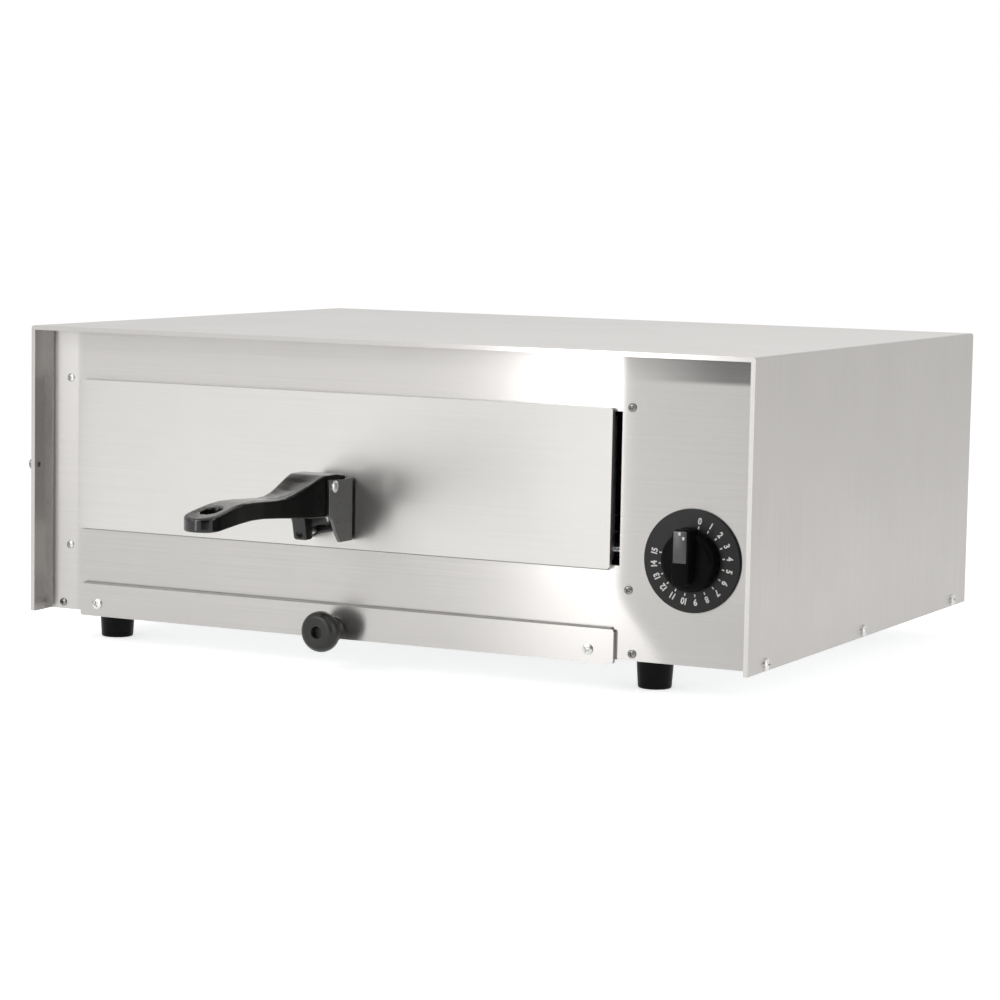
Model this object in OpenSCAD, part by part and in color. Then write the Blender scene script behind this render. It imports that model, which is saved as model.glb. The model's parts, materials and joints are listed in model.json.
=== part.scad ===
// Countertop electric pizza oven with a slide-out rack door, a crumb tray and a
// clockwork timer. Millimetres, +Z up, the front faces -Y. The origin is on the
// surface the feet stand on, in the middle of the whole part's footprint.
// Pieces are drawn in the cabinet's own frame: x from the middle of the cover,
// y back from the cover's front edge, z up from the cover's lower edge.

/* [Cabinet] */
// Outside width of the cover
cover_w = 479; // [474:1:500]
// Depth of the cover from front to back
cover_d = 379; // [372:1:410]
// Height of the cover
cover_h = 177; // [174:1:200]
// Thickness of the stainless sheet
sheet = 0.9; // [0.7:0.1:1.1]
// Outside radius of the cover's long bends
bend_r = 1.8; // [1.6:0.1:3]
// Depth of the hem folded in round the cover's front edge
hem_d = 11; // [8:1:14]
// How far the front panel sits behind the cover's front edge
front_recess = 20; // [18:1:24]
// How far the rear panel sits inside the cover's rear edge
rear_recess = 8; // [6:1:12]
// Height of the folded edges of the base pan
base_flange_h = 12; // [10:1:14]

/* [Feet] */
// Height of the rubber feet
foot_h = 21; // [16:1:26]
// Diameter of a foot where it meets the base
foot_d = 20.5; // [18:0.5:24]
// Diameter of a foot at the floor
foot_low_d = 18.5; // [15:0.5:20]
// Distance of the left feet from the cover's side
foot_in = 22.5; // [20:0.5:30]
// Distance of the right feet from the opening's edge
foot_out = 8.5; // [6:0.5:14]
// Distance of the feet from the front and the rear edge
foot_setback = 60; // [45:1:80]

/* [Oven chamber] */
// Width of the front left of the oven opening
left_w = 22; // [20:0.5:28]
// Width of the control side, right of the opening
control_w = 88; // [80:1:100]
// Height of the sill of the opening
opening_z = 54; // [50:1:58]
// Height of the front above the opening
head_h = 35; // [32:1:42]
// Height of the chamber's roof above the opening
roof_gap = 10; // [8:0.5:12]
// Thickness of the chamber's sheet
liner_t = 0.8; // [0.6:0.1:1]
// Width of the chamber's mounting flanges
flange_w = 12; // [11:0.5:13]
// Air gap behind the chamber's rear wall
rear_gap = 20; // [15:1:25]
// Thickness of the fibre blanket on the roof
blanket_t = 15; // [8:1:18]

/* [Heating elements] */
// Diameter of the element tube
element_d = 6.6; // [6:0.2:8]
// Distance of the upper element below the roof
upper_element_gap = 11; // [9:0.5:14]
// Height of the lower element
lower_element_z = 36; // [30:1:44]
// Distance of the outer passes from the front panel and the rear wall
element_y = 60; // [50:1:70]

/* [Wire rack] */
// Diameter of the rack's frame wire
rail_d = 5; // [4.4:0.2:5.6]
// Diameter of the rack's grid wires
grid_d = 3; // [2.4:0.2:3.6]
// Number of grid wires
grid_count = 13; // [11:2:15]
// Height of the rack's frame above the sill
rack_rise = 8; // [6:0.5:12]
// Gap between the rack and the rear wall
rack_end_gap = 9.3; // [8:0.1:20]

/* [Door] */
// How much narrower the door is than the opening, at each side
door_gap = 3.5; // [3:0.5:6]
// How far the door sits left of the opening's middle
door_shift = 1; // [0:0.5:2]
// Overlap of the door over the top and bottom of the opening
door_overlap = 2; // [1:0.5:4]
// How far the door's face stands in front of the panel
door_proud = 4; // [3:0.5:6]
// Corner radius of the door
door_r = 2; // [1.4:0.2:4]
// Depth of the door's inner pan behind its face
door_pan_d = 11; // [10:1:14]

/* [Handle] */
// Reach of the handle in front of the cover
handle_reach = 138; // [125:1:160]
// Height of the handle's root above its underside
handle_root_h = 24; // [22:1:26]
// Height of the underside of the handle's root above the sill
handle_rise = 19; // [18:1:26]
// Half width of the handle's root
handle_half_w = 12; // [11:0.5:14]
// Half width of the handle's narrow middle
waist_half_w = 8.4; // [7:0.2:10]
// Half width of the handle's loop
loop_half_w = 11.2; // [10:0.2:13]
// Width of the slot in the loop
loop_slot_w = 10; // [8:0.5:11]
// Length of the slot in the loop
loop_slot_l = 15; // [12:0.5:20]
// Thickness of the bracket's steel
bracket_t = 2; // [1.5:0.1:2.5]
// Distance of the lower screw below the handle's underside
lug_screw_drop = 9; // [8:0.5:10]

/* [Crumb tray] */
// Gap between the crumb tray and the chamber's walls
tray_side_gap = 5.5; // [5:0.5:10]
// Gap between the crumb tray and the rear wall
tray_end_gap = 13.4; // [12:0.1:25]
// Height of the tray's walls
tray_h = 12.4; // [10:0.2:13]
// How much narrower the tray's front plate is than the opening, at each side
tray_front_gap = 2.5; // [1:0.5:3]
// How far the tray's front plate sits right of the opening's middle
tray_front_shift = 1; // [0:0.5:1.5]
// Height of the tray's front plate
tray_front_h = 20; // [19:0.5:22]
// How far the plate hangs below the cover
tray_drop = 2.6; // [1:0.2:3]
// How far the plate stands in front of the panel
tray_proud = 3; // [2.4:0.2:4]
// Height of the tray's knob
tray_knob_z = 4.3; // [4:0.1:6]
// Diameter of the tray's knob
tray_knob_d = 23.6; // [20:0.2:26]
// Length of the tray's knob
tray_knob_l = 21; // [18:1:24]

/* [Timer] */
// Distance of the timer's shaft from the opening's edge
timer_side = 45.3; // [44:0.1:50]
// Height of the timer's shaft
timer_z = 60; // [56:1:66]
// Diameter of the dial plate
dial_d = 59; // [54:1:62]
// Thickness of the dial plate
dial_t = 2; // [1.8:0.1:2.6]
// Diameter of the knob's body
knob_d = 35; // [32:1:38]
// Height of the knob from the dial to the face of its grip
knob_h = 17.5; // [16:0.5:20]
// Width of the knob's grip
grip_w = 10; // [9:0.5:12]
// How far the pointer reaches from the shaft
pointer_l = 19.5; // [18.5:0.5:21]
// Diameter of the timer's shaft
shaft_d = 6; // [5.4:0.2:6.4]

/* [Fasteners and fits] */
// Diameter of a sheet-metal screw's shank
screw_d = 3.2; // [2.9:0.1:3.5]
// Diameter of a sheet-metal screw's head
screw_head_d = 7; // [6.4:0.2:8]
// Height of a sheet-metal screw's head
screw_head_h = 2.4; // [2:0.1:2.8]
// Diameter of the machine screws that hold the handle
bolt_d = 4; // [3.6:0.1:4.4]
// Running gap between a sliding piece and what carries it
slide_gap = 0.3; // [0.2:0.05:0.5]
// Radial clearance of a screw in its hole
hole_gap = 0.1; // [0.05:0.05:0.2]
// Radial clearance of the timer's shaft in its bush
shaft_gap = 0.05; // [0.03:0.01:0.08]
// Diameter of the cord's hole through its bushing
cord_d = 8.4; // [7:0.2:9.4]
// Diameter of the insulated leads
lead_d = 2.6; // [2:0.2:3.2]

/* [Hidden] */
$fn = 48;
front_y = (handle_reach - cover_d) / 2;
in_x = cover_w / 2 - sheet;
panel_y = front_recess;
panel_back = panel_y + sheet;
rear_y = cover_d - rear_recess;
rear_in = rear_y - sheet;
opening_top = cover_h - head_h;
open_x = [left_w - cover_w / 2, cover_w / 2 - control_w];
opening_w = open_x[1] - open_x[0];
chamber_x = (open_x[0] + open_x[1]) / 2;
roof_z = opening_top + roof_gap;
cut_l = 600;
liner_x = [open_x[0] - liner_t, open_x[1] + liner_t];
rear_wall_y = rear_in - rear_gap;
wall_edge = 10;
// door
door_x = chamber_x - door_shift;
door_w = opening_w - 2 * door_gap;
door_z = [opening_z - door_overlap, opening_top + door_overlap];
door_y = panel_y - door_proud;
door_back = door_y + sheet;
pan_gap = 3;
pan_x = [door_x - door_w / 2 + 2, door_x + door_w / 2 - 2];
pan_z = [opening_z + pan_gap, opening_top - pan_gap];
pan_back = door_y + door_pan_d;
// rack and its guides
rack_z = opening_z + rack_rise;
rack_y0 = pan_back + rail_d / 2;
rack_l = rear_wall_y - liner_t - rack_end_gap - rail_d / 2 - rack_y0;
guide_w = 12;
guide_wall_gap = 1;
rail_x = opening_w / 2 - liner_t - guide_wall_gap - rail_d / 2;
guide_y = [pan_back + 2, rear_wall_y - liner_t - 4];
grid_half = opening_w / 2 - guide_w - 4.5;
grid_pitch = 2 * grid_half / (grid_count - 1);
cross_bars = 3;
cross_d = 4;
weld = 0.5;
clip_w = 18;
clip_x = 3.5 * grid_pitch;
clip_screw_rise = rail_d / 2 + 4;
// handle and bracket
handle_x = door_x - 0.5;
handle_z = opening_z + handle_rise;
lug_screw_z = handle_z - lug_screw_drop;
handle_top = handle_z + handle_root_h;
ear_in = handle_half_w + slide_gap;
web_y = door_y - bracket_t;
tongue_end = web_y - 4.5;
pivot_y = -7.5;
pivot_z = handle_top - 6;
lug_y = [-25.5, -14];
lug_half_w = 4.5;
lug_taper = 4;
lug_drop = 13;
lug_seat_y = lug_y[0] + 4.4;
sleeve_y = -5;
bracket_z = [lug_screw_z - 6.5, handle_top - 2.2];
bracket_screw_z = [handle_z - 2, handle_top - 9];
nut_h = 3.2;
// The handle's side view: distances out along a reach of 138, and rises above the
// underside of a root 24 high
handle_top_line = [[12, 24], [17.8, 21.6], [25, 18.8], [34, 16], [42, 14.5], [51, 13.7], [66, 13.5],
    [85, 14.2], [98, 14.2], [110, 13.2], [118, 11.8], [126, 9.8], [132, 8], [138, 5.8]];
handle_low_line = [[138, 2], [134, 1.8], [127, 2.4], [119, 3.2], [106, 4.2], [90, 4.8], [75, 4.4],
    [56, 3], [26, 0.6]];
// Its top view: distances out, then the shares of the root's and the loop's extra width
handle_plan = [[12, 1, 0], [25, 0.78, 0], [40, 0.28, 0], [56, 0, 0], [77, 0, 0], [98, 0, 0.5],
    [110, 0, 0.86], [120, 0, 1]];
reach_k = handle_reach / 138;
rise_k = handle_root_h / 24;
plan_line = [for (p = handle_plan) [waist_half_w + p[1] * (handle_half_w - waist_half_w)
    + p[2] * (loop_half_w - waist_half_w), -p[0] * reach_k]];
loop_rim = 11;
loop_slot_y = loop_rim + loop_slot_l / 2 - handle_reach;
// tray
tray_x = [open_x[0] + tray_side_gap, open_x[1] - tray_side_gap];
tray_y = panel_y - tray_proud + sheet;
tray_z = sheet + slide_gap;
tray_l = rear_wall_y - liner_t - tray_end_gap - tray_y;
tray_front_x = [open_x[0] + tray_front_gap, open_x[1] - tray_front_gap] + [1, 1] * tray_front_shift;
slot_gap = 1.5;
tray_guide_gap = 0.5;
tray_front_z = [-tray_drop, tray_front_h - tray_drop];
knob_seat_y = panel_y - tray_proud;
// timer
timer_x = open_x[1] + timer_side;
dial_y = panel_y - dial_t;
knob_gap = 0.4;
knob_back_y = dial_y - knob_gap;
knob_face = dial_y - knob_h;
timer_box = [48, 27, 48];
timer_plate_t = 1.2;
timer_plate = [52, 52];
timer_back = panel_back + timer_plate_t + timer_box[1];
shaft_end_y = panel_back + 18;
bell_r = 21;
bell_h = 11;
timer_screw_x = 14;
grip_tail = 8;
insert_x = [1 - grip_w / 2, grip_w / 2 - 1];
insert_z = [0.5, pointer_l - 1.2];
insert_t = 0.8;
// control side
shield_x = liner_x[1] + 16;
shield_t = 0.8;
stud_end_x = shield_x + 15;
stud_d = 3;
stud_seat = 3;
collar_d = 12;
collar_h = 3;
insulator_d = 9;
cutout_y = cover_d / 2 - 9.5;
cutout_z = opening_z + 46;
vent_z = opening_z + 46;
block_x = [shield_x + 15.7, shield_x + 57.7];
block_y = [rear_in - 78.1, rear_in - 54.1];
block_h = 20;
block_seat = 13;
pole_x = [for (i = [-1 : 1]) (block_x[0] + block_x[1]) / 2 + 12.5 * i];
gland_x = pole_x[1];
gland_z = 46;
earth_y = block_y[0] - 42;
element_pitch = floor((rear_wall_y - panel_y - 2 * element_y) / 3);
element_side = element_pitch / 2 + element_d / 2 + 1.7;
element_x = [open_x[0] + element_side, open_x[1] - element_side];
upper_element_z = roof_z - upper_element_gap;
lead_out_x = stud_end_x + 9;
lead_floor_z = 8;
// screw places
side_screw_y = [27, cover_d / 2 - 4.5, cover_d - 27];
side_screw_z = 4;
edge_screw = [4.5, cover_h / 2 + 2.5];
flange_screw_z = [opening_z - 13.5, opening_top + 2.5];
flange_screw_x = [open_x[0] - flange_w / 2, open_x[1] + flange_w / 2];
base_screw_x = [open_x[0] - 11, open_x[1] + 9];
base_screw_z = 4;
tray_screw_x = [tray_front_x[0] + 12.5, tray_front_x[1] - 16];
tray_screw_z = 5;
feet = [for (y = [foot_setback, cover_d - foot_setback], x = [foot_in - cover_w / 2, open_x[1] + foot_out])
    [x, y]];
// colours
stainless = [0.78, 0.77, 0.75];
aluminised = [0.66, 0.67, 0.68];
zinc = [0.72, 0.72, 0.70];
bakelite = [0.07, 0.07, 0.07];

// ---- shared shapes -------------------------------------------------------

// The cabinet's own frame
module cab() translate([0, front_y, foot_h]) children();

// A box from its limits along each axis
module slab(x, y, z) translate([x[0], y[0], z[0]]) cube([x[1] - x[0], y[1] - y[0], z[1] - z[0]]);

// A flat drawing in x and z, run along y between two limits
module run_y(y) translate([0, y[1], 0]) rotate([90, 0, 0]) linear_extrude(y[1] - y[0]) children();

// A rectangle with round corners, given by its limits
module round_rect(x, z, r) {
    translate([x[0] + r, z[0]]) square([x[1] - x[0] - 2 * r, z[1] - z[0]]);
    translate([x[0], z[0] + r]) square([x[1] - x[0], z[1] - z[0] - 2 * r]);
    for (cx = [x[0] + r, x[1] - r], cz = [z[0] + r, z[1] - r]) translate([cx, cz]) circle(r);
}

// The cover's end view: a rectangle with its two upper corners bent round
module hood(w, h, r) {
    translate([-w / 2, 0]) square([w, h - r]);
    translate([r - w / 2, 0]) square([w - 2 * r, h]);
    for (s = [-1, 1]) translate([s * (w / 2 - r), h - r]) circle(r);
}

// The same end view as a bent wall, open below
module hood_wall(w, h, t, r) difference() {
    hood(w, h, r);
    translate([0, -1]) hood(w - 2 * t, h - t + 1, max(r - t, 0.2));
}

// A shallow pan: a round-cornered plate with edges turned back to y[1]
module pan_y(x, y, z, t, r) difference() {
    run_y(y) round_rect(x, z, r);
    run_y([y[0] + t, y[1] + 1]) round_rect([x[0] + t, x[1] - t], [z[0] + t, z[1] - t], max(r - t, 0.3));
}

// Turn a piece drawn along +Z so that it faces the front, the rear or a side
module face_front() rotate([90, 0, 0]) children();
module face_rear() rotate([-90, 0, 0]) children();
module face_side(s) rotate([0, s * 90, 0]) children();

// A screw with a low domed head and a cross recess; the head stands on z = 0
module screw(l, d = screw_d, head_d = screw_head_d, head_h = screw_head_h) difference() {
    rotate_extrude() polygon([[0, -l], [d / 2 - 0.4, -l], [d / 2, 0.6 - l], [d / 2, 0], [head_d / 2, 0],
        [head_d / 2, head_h * 0.35], [head_d * 0.42, head_h * 0.75], [head_d * 0.25, head_h], [0, head_h]]);
    for (a = [0, 90]) rotate(a) translate([-head_d * 0.26, -0.4, head_h * 0.45])
        cube([head_d * 0.52, 0.8, head_h]);
}

// The hole that a screw passes through, longer than any sheet stack
module screw_hole(d = screw_d, l = 12) translate([0, 0, -l / 2]) cylinder(d = d + 2 * hole_gap, h = l);

// A hexagon nut on z = 0 with its thread hole
module nut(d = bolt_d, h = nut_h) difference() {
    cylinder(d = 2 * d, h = h, $fn = 6);
    translate([0, 0, -1]) cylinder(d = d + 2 * hole_gap, h = h + 2);
}

// An insulated lead along straight runs, round at its turns and flat at its ends
module lead(points, d = lead_d) {
    for (i = [0 : len(points) - 2]) {
        v = points[i + 1] - points[i];
        l = norm(v);
        translate(points[i]) rotate([0, acos(v[2] / l), atan2(v[1], v[0])]) cylinder(d = d, h = l);
    }
    for (i = [1 : 1 : len(points) - 2]) translate(points[i]) sphere(d = d);
}

// ---- places that pieces share --------------------------------------------

module at_side_screws() for (s = [-1, 1], y = side_screw_y)
    translate([s * cover_w / 2, y, side_screw_z]) face_side(s) children();

module at_edge_screw() translate([-cover_w / 2, edge_screw[0], edge_screw[1]]) face_side(-1) children();

module at_flange_screws(y) for (x = flange_screw_x, z = flange_screw_z) translate([x, y, z]) children();

module at_base_screws(y) for (x = base_screw_x) translate([x, y, base_screw_z]) children();

module at_feet() for (p = feet) translate([p[0], p[1], 0]) children();

module at_timer(y) translate([timer_x, y, timer_z]) children();

module at_timer_screws(y) for (s = [-1, 1]) translate([timer_x + s * timer_screw_x, y, timer_z]) children();

module at_tray_screws(y) for (x = tray_screw_x) translate([x, y, tray_screw_z]) children();

module at_bracket_screws(y) for (z = bracket_screw_z) translate([handle_x, y, z]) children();

module at_clip_screws(y) for (s = [-1, 1], t = [-1, 1])
    translate([chamber_x + s * clip_x + t * 5.5, y, rack_z + clip_screw_rise]) children();

module at_block_screws(z) for (x = [pole_x[0], pole_x[2]])
    translate([x, (block_y[0] + block_y[1]) / 2, z]) children();

module at_studs(x) for (z = [upper_element_z, lower_element_z], i = [0, 3])
    translate([x, panel_y + element_y + i * element_pitch, z]) children();

// ---- cabinet -------------------------------------------------------------

// One sheet bent over the top and both sides, its front edge folded in to a pocket
module outer_cover() color(stainless) cab() difference() {
    union() {
        run_y([0, cover_d]) hood_wall(cover_w, cover_h, sheet, bend_r);
        run_y([0, sheet]) hood_wall(cover_w, cover_h, 3 * sheet, bend_r);
        run_y([0, hem_d]) hood_wall(cover_w - 4 * sheet, cover_h - 2 * sheet, sheet, 0.4);
    }
    at_side_screws() screw_hole();
    at_edge_screw() screw_hole();
}

module cover_side_screws() color(zinc) cab() at_side_screws() screw(7);

module cover_edge_screw() color(zinc) cab() at_edge_screw() screw(5, head_h = 4.2);

// The recessed front, with its edges turned forward into the cover's hem
module front_panel() color(stainless) cab() difference() {
    union() {
        run_y([panel_y, panel_back]) hood(2 * in_x, cover_h - sheet, bend_r - sheet);
        run_y([sheet, panel_back]) hood_wall(2 * in_x, cover_h - sheet, sheet, bend_r - sheet);
    }
    slab(open_x, [panel_y - 1, panel_back + 1], [opening_z, opening_top]);
    slab([tray_x[0] - slot_gap, tray_x[1] + slot_gap], [panel_y - 1, panel_back + 1],
        [-1, tray_z + tray_h + slot_gap]);
    at_timer(panel_y) face_front() screw_hole(10);
    at_timer_screws(panel_y) face_front() screw_hole();
    at_flange_screws(panel_y) face_front() screw_hole();
    at_base_screws(panel_y) face_front() screw_hole();
    at_edge_screw() screw_hole();
}

module front_panel_screws() color(zinc) cab() {
    at_flange_screws(panel_y) face_front() screw(7, head_d = 4.8, head_h = 1.8);
    at_base_screws(panel_y) face_front() screw(7, head_d = 4.8, head_h = 1.8);
}

// The back, with cooling slots behind the controls and the hole for the cord's bushing
module rear_panel() color(stainless) cab() difference() {
    union() {
        run_y([rear_in, rear_y]) hood(2 * in_x, cover_h - sheet, bend_r - sheet);
        intersection() {
            run_y([rear_y - 14, rear_y]) hood_wall(2 * in_x, cover_h - sheet, sheet, bend_r - sheet);
            slab([-cover_w, cover_w], [0, cover_d], [base_flange_h + 1, cover_h]);
        }
    }
    for (i = [0 : 5]) run_y([rear_in - 1, rear_y + 1])
        round_rect([shield_x + 14, in_x - 14], [vent_z + 10 * i, vent_z + 4 + 10 * i], 1.9);
    translate([gland_x, rear_y, gland_z]) face_rear() screw_hole(16);
    at_flange_screws(rear_y) face_rear() screw_hole();
    at_base_screws(rear_y) face_rear() screw_hole();
}

module rear_panel_screws() color(zinc) cab() {
    at_flange_screws(rear_y) face_rear() screw(7);
    at_base_screws(rear_y) face_rear() screw(7);
}

// The floor of the cabinet, with upturned edges that the panels screw to
module base_pan() color(aluminised) cab() difference() {
    union() {
        slab([-in_x, in_x], [panel_back, rear_in], [0, sheet]);
        for (s = [0, 1]) mirror([s, 0, 0])
            slab([-in_x, sheet - in_x], [panel_back, rear_in], [0, base_flange_h]);
        for (y = [panel_back, rear_in - sheet], x = [[-in_x, liner_x[0]], [liner_x[1], in_x]])
            slab(x, [y, y + sheet], [0, base_flange_h]);
    }
    at_side_screws() screw_hole();
    at_base_screws(panel_back) face_front() screw_hole();
    at_base_screws(rear_in) face_rear() screw_hole();
    at_feet() screw_hole(bolt_d, 6);
    translate([gland_x, earth_y, 0]) screw_hole(bolt_d, 6);
    at_block_screws(0) screw_hole();
}

// A round rubber foot with a pocket for its screw
module foot(i) color([0.06, 0.06, 0.06]) cab() translate([feet[i][0], feet[i][1], 0]) difference() {
    rotate_extrude() polygon([[0, 0], [foot_d / 2, 0], [foot_low_d / 2 + 0.3, 1.2 - foot_h],
        [foot_low_d / 2 - 0.9, -foot_h], [0, -foot_h]]);
    translate([0, 0, -foot_h - 1]) cylinder(d = 11, h = foot_h - 5);
    translate([0, 0, -foot_h]) cylinder(d = bolt_d + 2 * hole_gap, h = foot_h + 1);
}

module foot_front_left() foot(0);

module foot_front_right() foot(1);

module foot_rear_left() foot(2);

module foot_rear_right() foot(3);

module foot_screws() color(zinc) cab() at_feet()
    translate([0, 0, -6]) rotate([180, 0, 0]) screw(6 + sheet, bolt_d, 8, 2.6);

// ---- oven chamber --------------------------------------------------------

// Roof and side walls of the oven, flanged at both ends
module chamber_liner() color(aluminised) cab() difference() {
    union() {
        slab(liner_x, [panel_back, rear_in], [sheet, roof_z + liner_t]);
        for (y = [panel_back, rear_in - liner_t])
            slab([liner_x[0] - flange_w, liner_x[1] + flange_w], [y, y + liner_t],
                [base_flange_h + 1, roof_z + liner_t + flange_w]);
    }
    slab(open_x, [panel_back - 1, rear_in + 1], [sheet - 1, roof_z]);
    at_flange_screws(panel_y) face_front() screw_hole();
    at_flange_screws(rear_y) face_rear() screw_hole();
    at_studs(liner_x[1]) face_side(1) screw_hole(8);
}

// The oven's rear wall, a pan whose turned edges lie against the liner
module chamber_rear_wall() color(aluminised) cab() difference() {
    slab(open_x, [rear_wall_y - liner_t, rear_wall_y + wall_edge], [sheet, roof_z]);
    slab([open_x[0] + liner_t, open_x[1] - liner_t], [rear_wall_y, rear_wall_y + wall_edge + 1],
        [sheet - 1, roof_z - liner_t]);
}

// A channel on the oven's wall that the rack's side rail slides in
module rack_guide(s) color(zinc) cab() translate([chamber_x, 0, rack_z]) difference() {
    h = rail_d / 2 + slide_gap + liner_t;
    x = [opening_w / 2 - guide_w, opening_w / 2];
    slab(s > 0 ? x : [-x[1], -x[0]], guide_y, [-h, h]);
    g = [opening_w / 2 - guide_w - 1, opening_w / 2 - liner_t];
    slab(s > 0 ? g : [-g[1], -g[0]], [guide_y[0] - 1, guide_y[1] + 1], [liner_t - h, h - liner_t]);
}

module rack_guide_left() rack_guide(-1);

module rack_guide_right() rack_guide(1);

// An angle on the floor that keeps the crumb tray straight
module tray_guide(x0, x1) color(zinc) cab() {
    y = [panel_back + 1, rear_wall_y - liner_t];
    slab([min(x0, x1), max(x0, x1)], y, [sheet, sheet + liner_t]);
    w = x0 < x1 ? [x1 - liner_t, x1] : [x1, x1 + liner_t];
    slab(w, y, [sheet, tray_z + tray_h - 2]);
}

module tray_guide_left() tray_guide(open_x[0], tray_x[0] - tray_guide_gap);

module tray_guide_right() tray_guide(open_x[1], tray_x[1] + tray_guide_gap);

// A tubular element bent into four passes across the oven
module element(z) color([0.42, 0.41, 0.40]) cab() translate([0, panel_y + element_y, z]) {
    r = element_pitch / 2;
    lap = 0.01;
    for (i = [0, 3]) translate([element_x[0], i * element_pitch, 0]) face_side(1)
        cylinder(d = element_d, h = liner_x[1] - element_x[0] + 1);
    for (i = [1, 2]) translate([element_x[0], i * element_pitch, 0]) face_side(1)
        cylinder(d = element_d, h = element_x[1] - element_x[0]);
    for (i = [0, 2]) translate([element_x[0] + lap, i * element_pitch + r, 0]) rotate(90)
        rotate_extrude(angle = 180) translate([r, 0]) circle(d = element_d);
    translate([element_x[1] - lap, element_pitch + r, 0]) rotate(-90)
        rotate_extrude(angle = 180) translate([r, 0]) circle(d = element_d);
    for (i = [0, 3]) translate([liner_x[1], i * element_pitch, 0]) face_side(1)
        cylinder(d = collar_d, h = collar_h);
}

module upper_element() element(upper_element_z);

module lower_element() element(lower_element_z);

// Hangers and stands that hold the elements' bends
module element_clips() color(zinc) cab() {
    w = 8;
    r = element_d / 2 + hole_gap;
    for (i = [0 : 3]) translate([element_x[0] + 20, panel_y + element_y + i * element_pitch, 0])
        difference() {
            union() {
                translate([0, 0, upper_element_z]) face_side(1) cylinder(r = r + 1, h = w);
                slab([0, w], [-0.6, 0.6], [upper_element_z, roof_z]);
                slab([0, w], [-7, 7], [roof_z - 1, roof_z]);
            }
            translate([-1, 0, upper_element_z]) face_side(1) cylinder(r = r, h = w + 2);
        }
    for (y = [panel_y + element_y + element_pitch / 2, panel_y + element_y + 2.5 * element_pitch]) {
        slab([open_x[0], element_x[0] - element_pitch / 2 + 6], [y - 4, y + 4],
            [lower_element_z - element_d / 2 - 1, lower_element_z - element_d / 2]);
        slab([open_x[0], open_x[0] + 1], [y - 4, y + 4],
            [lower_element_z - element_d / 2 - 1, lower_element_z + 8]);
    }
}

// Ceramic ends of the elements, out through the heat shield
module element_insulators() color([0.88, 0.85, 0.78]) cab() at_studs(liner_x[1] + collar_h) face_side(1)
    difference() {
        cylinder(d = insulator_d, h = stud_end_x - liner_x[1] - collar_h - 8);
        translate([0, 0, stud_seat]) cylinder(d = stud_d + 2 * hole_gap, h = cut_l);
    }

module element_studs() color(zinc) cab() at_studs(0) {
    x0 = liner_x[1] + collar_h + stud_seat;
    translate([x0, 0, 0]) face_side(1) cylinder(d = stud_d, h = stud_end_x - x0);
    translate([stud_end_x - 6, 0, 0]) face_side(1) cylinder(d = 7, h = 2.4, $fn = 6);
}

// Ceramic fibre that keeps the heat off the cover
module insulation_blanket() color([0.90, 0.89, 0.85]) cab()
    slab([liner_x[0] + 4, liner_x[1] - 4], [panel_back + 14, rear_in - 14],
        [roof_z + liner_t, roof_z + liner_t + blanket_t]);

// ---- control side --------------------------------------------------------

// Sheet that stands between the hot wall and the controls
module heat_shield() color(aluminised) cab() difference() {
    union() {
        slab([shield_x, shield_x + shield_t], [panel_back, rear_in], [sheet, roof_z + 10]);
        slab([shield_x, shield_x + 10], [rear_in - shield_t, rear_in], [base_flange_h + 1, roof_z + 10]);
        slab([shield_x, shield_x + 10], [panel_back + 30, rear_in - 30], [sheet, sheet + shield_t]);
    }
    at_studs(shield_x) face_side(1) screw_hole(insulator_d + 3);
    for (y = [panel_back, rear_in - sheet]) slab([shield_x - 1, shield_x + 2], [y - 1, y + sheet + 1],
        [0, base_flange_h + 0.5]);
    for (s = [-1, 1]) translate([shield_x, cutout_y + s * 12, cutout_z]) face_side(1) screw_hole();
}

// A snap-disc cut-out screwed to the heat shield
module thermal_cutout() color([0.12, 0.12, 0.13]) cab() translate([shield_x + shield_t, cutout_y, cutout_z])
    difference() {
        union() {
            face_side(1) cylinder(d = 16, h = 9);
            slab([0, 1], [-16, 16], [-5, 5]);
            for (s = [-1, 1]) slab([8, 15], [s * 4 - 0.4, s * 4 + 0.4], [-3, 3]);
        }
        for (s = [-1, 1]) translate([0, s * 12, 0]) face_side(1) screw_hole();
    }

module cutout_screws() color(zinc) cab() for (s = [-1, 1])
    translate([shield_x + shield_t + 1, cutout_y + s * 12, cutout_z]) face_side(1)
        screw(5, head_d = 6, head_h = 2);

// Ceramic block where the cord's wires meet the oven's leads
module terminal_block() color([0.90, 0.88, 0.82]) cab() difference() {
    slab(block_x, block_y, [sheet, sheet + block_h]);
    for (x = pole_x) slab([x - 4.5, x + 4.5], [block_y[0] + 5, block_y[1] - 5],
        [sheet + block_seat, sheet + block_h + 1]);
    at_block_screws(sheet) screw_hole(l = cut_l);
}

module terminal_block_screws() color(zinc) cab() at_block_screws(sheet + block_seat)
    screw(block_seat + 1, head_d = 5, head_h = 2);

// Earth stud on the floor with its nut
module earth_stud() color([0.75, 0.60, 0.30]) cab() translate([gland_x, earth_y, 0]) {
    cylinder(d = bolt_d, h = 14);
    translate([0, 0, sheet]) cylinder(d = 9, h = 1);
    translate([0, 0, sheet + 4]) cylinder(d = 8, h = nut_h, $fn = 6);
}

// The bushing that the cord passes through at the back
module cord_bushing() color([0.05, 0.05, 0.05]) cab() translate([gland_x, rear_y, gland_z]) face_rear()
    difference() {
        union() {
            translate([0, 0, -9]) cylinder(d = 16 - 2 * hole_gap, h = 10);
            translate([0, 0, -sheet - 3]) cylinder(d = 19, h = 3);
            cylinder(d1 = 21, d2 = 17, h = 6);
        }
        translate([0, 0, -10]) cylinder(d = cord_d, h = 20);
    }

// ---- wiring --------------------------------------------------------------

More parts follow.
